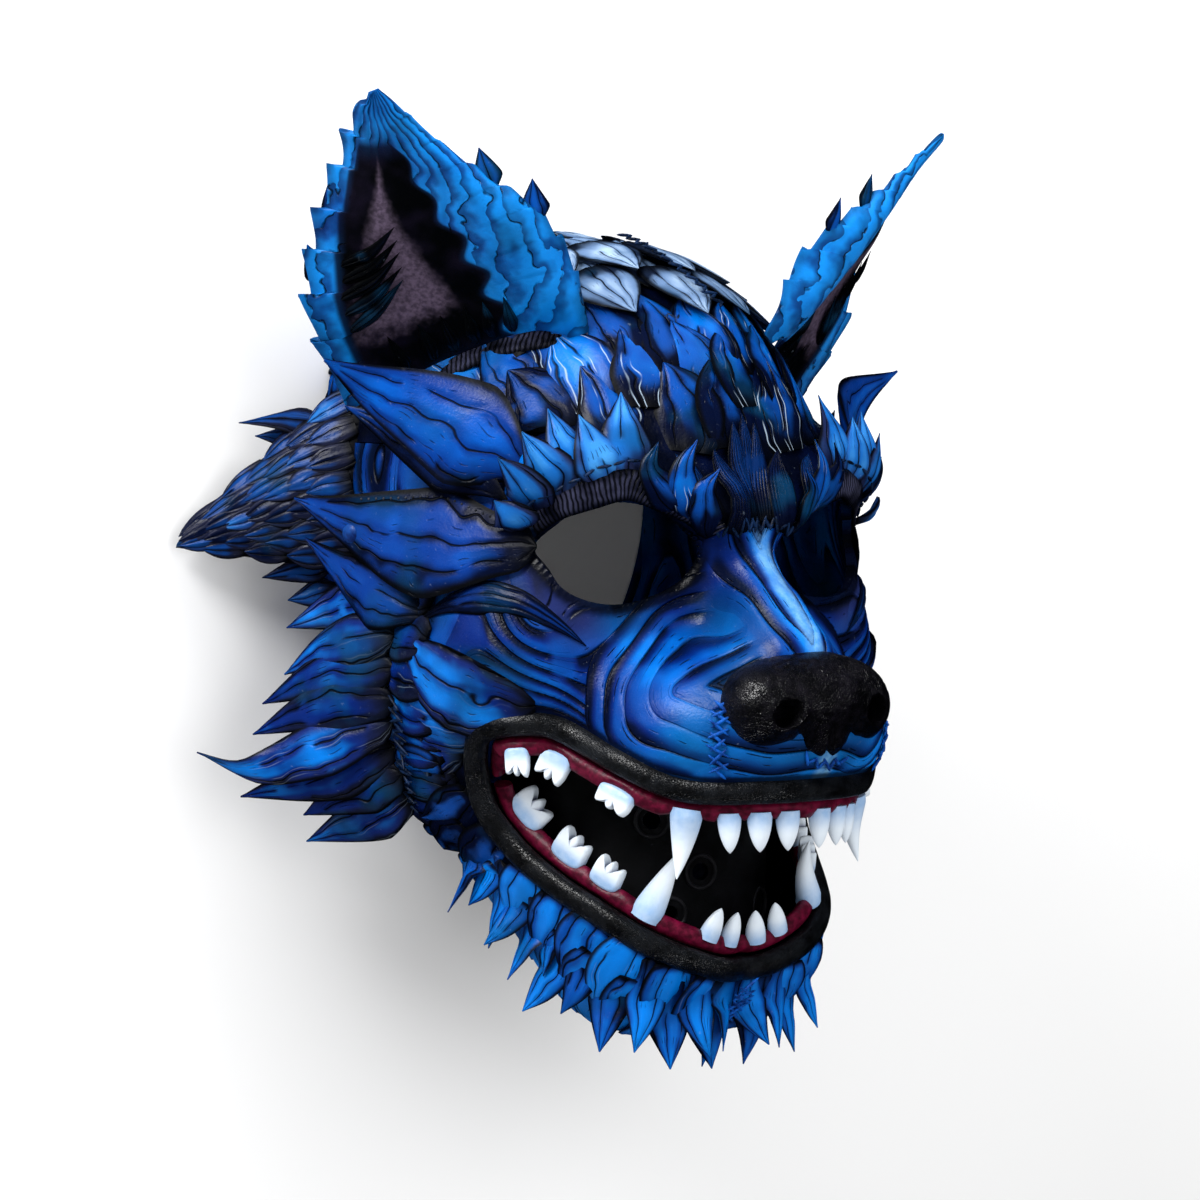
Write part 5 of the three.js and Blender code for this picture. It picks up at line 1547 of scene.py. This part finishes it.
# Each tooth: its kind, its place beside the middle, its width and its length
UPPER_TEETH = [
    ["incisor_inner", 8, 9, 12.5], ["incisor_middle", 19, 9, 12.5], ["incisor_outer", 29, 8.5, 12.5],
    ["fang", 39, 11.5, 22],
    ["molar_front", 53, 13, 7], ["molar_middle", 62, 11, 9], ["molar_back", 76.5, 8, 9],
]
LOWER_TEETH = [
    ["incisor_inner", 7.5, 8, 11], ["incisor_outer", 19, 8, 11], ["fang", 42, 11.5, 24],
    ["molar_front", 52, 11, 9], ["molar_middle", 59, 13, 10], ["molar_back", 67.5, 14, 10],
]
GUM_SECTION = [[3.6, -4.6], [6.4, -3], [8.4, -6], [6.6, -9], [3, -8]]
GUM_EDGE = 8.4
GUM_MIDDLE_OUT = -6
MOUTH_MIDDLE_Y = -84.5
from_below = np.roll(stations, -(LIP_STATIONS // 2))
upper = from_below[lip_line[from_below, 1] > MOUTH_MIDDLE_Y + 0.5]
lower = stations[lip_line[:, 1] < MOUTH_MIDDLE_Y - 0.5]


def station_beside(order, x):
    across = lip_line[order, 0]
    for i in range(len(order) - 1):
        low, high = sorted((across[i], across[i + 1]))
        if low <= x <= high and high > low:
            return i + (x - across[i]) / (across[i + 1] - across[i])
    raise ValueError(f"no lip beside x = {x}")


def gum(order, teeth):
    """A soft strip whose edge steps back at each tooth and comes forward between them"""
    places = [station_beside(order, x * s) for _, x, _, _ in teeth for s in (1, -1)]
    widths = [w for _, _, w, _ in teeth for _ in (1, -1)]
    i = np.arange(len(order))
    spacing = np.linalg.norm(np.diff(lip_line[order], axis=0), axis=1).mean()
    cover = np.ones(len(order))
    for place, width in zip(places, widths):
        cover = np.minimum(cover, smoothstep(np.abs(i - place) * spacing, width * 0.2, width * 0.62))
    ring = smooth_curve(GUM_SECTION, 16, True)
    reach = (ring[:, 0] - 5.6).clip(0)[None] * (cover[:, None] * 0.8 - 0.1)
    return lip_tube(order, ring[None, :, 0] + reach, ring[None, :, 1])


piece("gum_upper", gum(upper, UPPER_TEETH), gum_look, "gum", "upper_gum")
piece("gum_lower", gum(lower, LOWER_TEETH), gum_look, "gum", "lower_gum")

TOOTH_UPRIGHT = 0.35
TOOTH_INWARD = 0.06
MOLAR_HALF = 2.6
# The outline of a molar, and where it dips between its cusps
CUSPS = [
    [0.46, -0.1], [0.52, 0.4], [0.46, 0.84], [0.34, 0.8], [0.21, 0.62],
    [0.12, 0.84], [0.03, 0.96], [-0.06, 0.82], [-0.14, 0.64], [-0.26, 0.92],
    [-0.38, 1.02], [-0.48, 0.8], [-0.52, 0.5], [-0.46, -0.1],
]
DIPS = (0.21, -0.14)
# The layers of a molar across its thickness: their place and their size
MOLAR_LAYERS = [(-1, 0.8), (-0.86, 0.96), (-0.4, 1.03), (0.4, 1.03), (0.86, 0.96), (1, 0.8)]


def tooth(order, kind, x, width, long):
    place = station_beside(order, x)
    a, b, t = order[int(place)], order[int(place) + 1], place % 1

    def between(values):
        return values[a] * (1 - t) + values[b] * t

    # The frames of the gum's upper and lower run are those of the lip, in the order of the run
    point, inside, out = between(lip_line), unit(between(lip_inside)), unit(between(lip_out))
    across = unit(between(lip_along))
    axis = inside * (1 - TOOTH_UPRIGHT) + vec(0, np.sign(inside[1]), 0) * TOOTH_UPRIGHT - out * TOOTH_INWARD
    axis = unit(axis - across * (axis @ across))
    depth = np.cross(axis, across)
    foot = point + inside * (GUM_EDGE + 0.35) + out * GUM_MIDDLE_OUT
    if kind.startswith("molar"):
        outline = smooth_curve(CUSPS, 56, True)
        rings = np.stack([
            foot + across * (outline[:, :1] * width * s) + depth * (c * MOLAR_HALF)
            + axis * (0.5 + (outline[:, 1:2] - 0.5) * s) * long for c, s in MOLAR_LAYERS
        ])
        beside, above = outline.T
        # Painted shade in the dips between the cusps
        crevice = sum(np.exp(-((beside - dip) / 0.05) ** 2) for dip in DIPS) * (above > 0.3)
        layers = {"along": above, "dark": crevice}
        return tube(rings, {key: np.broadcast_to(row, rings.shape[:2]) for key, row in layers.items()})
    s = np.linspace(-0.12, 1, 20)
    if kind == "fang":
        radius = 0.5 * (1 - np.clip(s, 0, 1) ** 1.35) ** 0.8 * (1 - 0.12 * s)
    else:
        radius = 0.5 * (1 - np.clip(s, 0, 1) ** 2.2) ** 0.7 * (1 - 0.1 * np.clip(s, 0, 1))
    radius = np.maximum(radius, 0.02) * width
    turn = np.linspace(0, 2 * np.pi, 20, endpoint=False)
    bend = -0.06 * long * np.sin(np.pi * np.clip(s, 0, 1)) if kind == "fang" else 0 * s
    centre = foot + axis * (s * long)[:, None] + depth * bend[:, None]
    rings = centre[:, None] + across * (radius[:, None] * np.cos(turn))[..., None]
    rings = rings + depth * (0.8 * radius[:, None] * np.sin(turn))[..., None]
    return tube(rings, {"along": np.broadcast_to(s[:, None], rings.shape[:2]),
                        "dark": np.zeros(rings.shape[:2])})


for jaw_name, order, teeth in (("upper", upper, UPPER_TEETH), ("lower", lower, LOWER_TEETH)):
    for kind, x, width, long in teeth:
        part = tooth(order, kind, x, width, long)
        pair(f"tooth_{jaw_name}_{kind}", part, tooth_skin, "tooth", f"{jaw_name}_{kind}")

# Nose
NOSE_CORE = vec(0, -50, 182)
NOSTRIL_FLOOR = vec(21, -53, 188)
NOSTRIL_FACING = unit(vec(-0.16, 0.08, 0.98))
NOSTRIL_RADIUS = 4.2
bpy.ops.mesh.primitive_ico_sphere_add(subdivisions=6, radius=1)
nose_ball = bpy.context.object
nose_way, nose_tris = arrays_of(nose_ball.data)
bpy.data.objects.remove(nose_ball)
nose_points = traced(nose_form, NOSE_CORE, unit(nose_way), 50)
nose_normal = slope_of(nose_form, nose_points)
lateral = folded(nose_points) - NOSTRIL_FLOOR
lateral = np.linalg.norm(lateral - (lateral @ NOSTRIL_FACING)[:, None] * NOSTRIL_FACING, axis=1)
wrinkle = np.abs(noise(nose_points * vec(1, 1.6, 1), 6, 21) - 0.5)
wrinkle = wrinkle + 0.6 * np.abs(noise(nose_points, 3, 22) - 0.5)
nose_points = nose_points + nose_normal * (np.minimum(wrinkle, 0.2) * 2.5 - 0.4)[:, None]
nose_x, nose_y, nose_z = nose_points.T
groove = np.exp(-(nose_x / 1.2) ** 2) * smoothstep(nose_y, -48, -60) * (nose_z > 180)
wing = np.exp(-((np.abs(nose_x) - 11.5) / 1.4) ** 2) * smoothstep(nose_y, -50, -58)
nose_points = nose_points - nose_normal * (1.6 * groove + 1.5 * wing)[:, None]
nose_z = nose_points[:, 2]
pit = smoothstep(lateral, NOSTRIL_RADIUS + 0.8, NOSTRIL_RADIUS - 1) * (nose_z > 186)
rolled = np.exp(-((lateral - NOSTRIL_RADIUS - 1.6) / 1.1) ** 2) * (nose_z > 184)
nose_points = nose_points + NOSTRIL_FACING * (rolled * 0.8 - pit * 9)[:, None]
nose_part = (nose_points, facing_out(nose_points, nose_tris), {})
piece("nose_pad", nose_part, nose_look, "nose_leather", "nose")

# Lining behind the teeth: an upright half cylinder with ringed breathing holes
LINING_MIDDLE_Z = 62
LINING_SIDE = 54
LINING_FRONT = 70
LINING_TOP_Y = -56
LINING_BOTTOM_Y = -168
LINING_THICK = 2.4
LINING_TURN = 1.396
LINING_COUNT = (110, 170)
HOLE_RADIUS = 3.2
RING_RADIUS = 6
RING_THICK = 0.75
BREATHING_HOLES = [[-23, -97], [-6, -116], [33, -104], [27, -132], [-17, -131], [44, -120]]


def lining_point(turn, y):
    x = LINING_SIDE * np.sin(turn)
    return np.stack([x, y + 0 * x, LINING_MIDDLE_Z + LINING_FRONT * np.cos(turn)], -1)


turns = np.linspace(-LINING_TURN, LINING_TURN, LINING_COUNT[1])
heights = np.linspace(LINING_TOP_Y, LINING_BOTTOM_Y, LINING_COUNT[0])
lining = lining_point(*np.meshgrid(turns, heights)).reshape(-1, 3)
lining_tris = grid_tris(*LINING_COUNT)
lining, lining_tris = clip(lining, lining_tris, -head(lining) - LEATHER - 1.6)
holes = []
for x, y in BREATHING_HOLES:
    turn = math.asin(x / LINING_SIDE)
    facing = vec(math.sin(turn), 0, math.cos(turn))
    centre = lining_point(np.array(turn), y)
    holes.append((centre + facing * LINING_THICK / 2, facing))
    lining, lining_tris = clip(lining, lining_tris, np.linalg.norm(lining - centre, axis=1) - HOLE_RADIUS)
facing = unit((lining - vec(0, 0, LINING_MIDDLE_Z)) * vec(1 / LINING_SIDE ** 2, 0, 1 / LINING_FRONT ** 2))
half_wall = facing * LINING_THICK / 2
points, tris, layers, _ = shell(lining + half_wall, lining - half_wall, lining_tris, {})
piece("lining", (points, facing_out(points, tris), layers), lining_look, "lining", "mouth_lining")
ring_spots, ring_ways = np.array(holes).transpose(1, 0, 2)
rings = scatter("lining_rings", "ring", ring_spots, ring_ways, np.cross(ring_ways, vec(0, 1, 0)),
                np.ones(len(holes)), RING_RADIUS, RING_THICK, 0.0, ring_look)
finish_piece(rings, ring_look, "lining")

# Camera at the photograph's angle, lights and floor
TURN, TILT, ROLL = math.radians(-36), math.radians(2.8), math.radians(0.8)
TARGET = vec(0, 0, 110)
CAMERA_AWAY = 1100
PIXELS_PER_MM = 2.735
TARGET_PIXEL = (82, -53)
SENSOR_WIDTH = 36
FRAME_PIXELS = 1200
back = vec(math.sin(TURN) * math.cos(TILT), math.sin(TILT), math.cos(TURN) * math.cos(TILT))
level = vec(math.cos(TURN), 0, -math.sin(TURN))
upright = np.cross(back, level)
right = math.cos(ROLL) * level + math.sin(ROLL) * upright
up = -math.sin(ROLL) * level + math.cos(ROLL) * upright
aim = TARGET - right * TARGET_PIXEL[0] / PIXELS_PER_MM + up * TARGET_PIXEL[1] / PIXELS_PER_MM
eye_point = TARGET + back * CAMERA_AWAY


def looking(place, target, up_hint):
    """The matrix of a camera or light at a place, both in the frame of the face"""
    z = unit(place - target)
    x = unit(np.cross(up_hint, z))
    y = np.cross(z, x)
    turn = Matrix(np.stack([x, y, z], 1).tolist()).to_4x4()
    return Matrix.Translation(Vector(to_frame(place))) @ turn


camera_data = bpy.data.cameras.new("camera")
camera_data.sensor_width = SENSOR_WIDTH
camera_data.lens = SENSOR_WIDTH * PIXELS_PER_MM * CAMERA_AWAY / FRAME_PIXELS
camera_data.clip_start = 0.05
camera = bpy.data.objects.new("camera", camera_data)
camera.matrix_world = looking(eye_point, aim, up)
bpy.context.scene.collection.objects.link(camera)
bpy.context.scene.camera = camera


def lamp(name, place, size, power, seen_in_gloss):
    data = bpy.data.lights.new(name, "AREA")
    data.shape = "DISK"
    data.size = size
    data.energy = power
    made = bpy.data.objects.new(name, data)
    made.matrix_world = looking(place, TARGET, up)
    made.visible_glossy = seen_in_gloss
    bpy.context.scene.collection.objects.link(made)


lamp("key", TARGET + back * 700 - right * 520 + up * 760, 0.5, 16, True)
lamp("fill", TARGET + back * 800 + right * 760 + up * 120, 1.1, 7, False)
lamp("top", TARGET + back * 100 + right * 260 + up * 900, 1.0, 7, False)

world = bpy.data.worlds.new("studio")
world.use_nodes = True
backdrop = world.node_tree.nodes["Background"].inputs
backdrop["Color"].default_value = (1, 1, 1, 1)
backdrop["Strength"].default_value = 0.55
world.cycles_visibility.glossy = False
bpy.context.scene.world = world

bpy.ops.mesh.primitive_plane_add(size=8)
floor = bpy.context.object
floor.name = "floor"
floor.visible_glossy = False
floor_look = Look("floor")
floor_relief = floor_look.bump(floor_look.noise(40), 0.1)
floor.data.materials.append(floor_look.finish(paint(250, 250, 250), 0.9, floor_relief, 0.1))

bpy.context.scene.view_settings.view_transform = "Standard"
bpy.context.scene.view_settings.look = "None"
bpy.context.scene.view_settings.exposure = 0.0
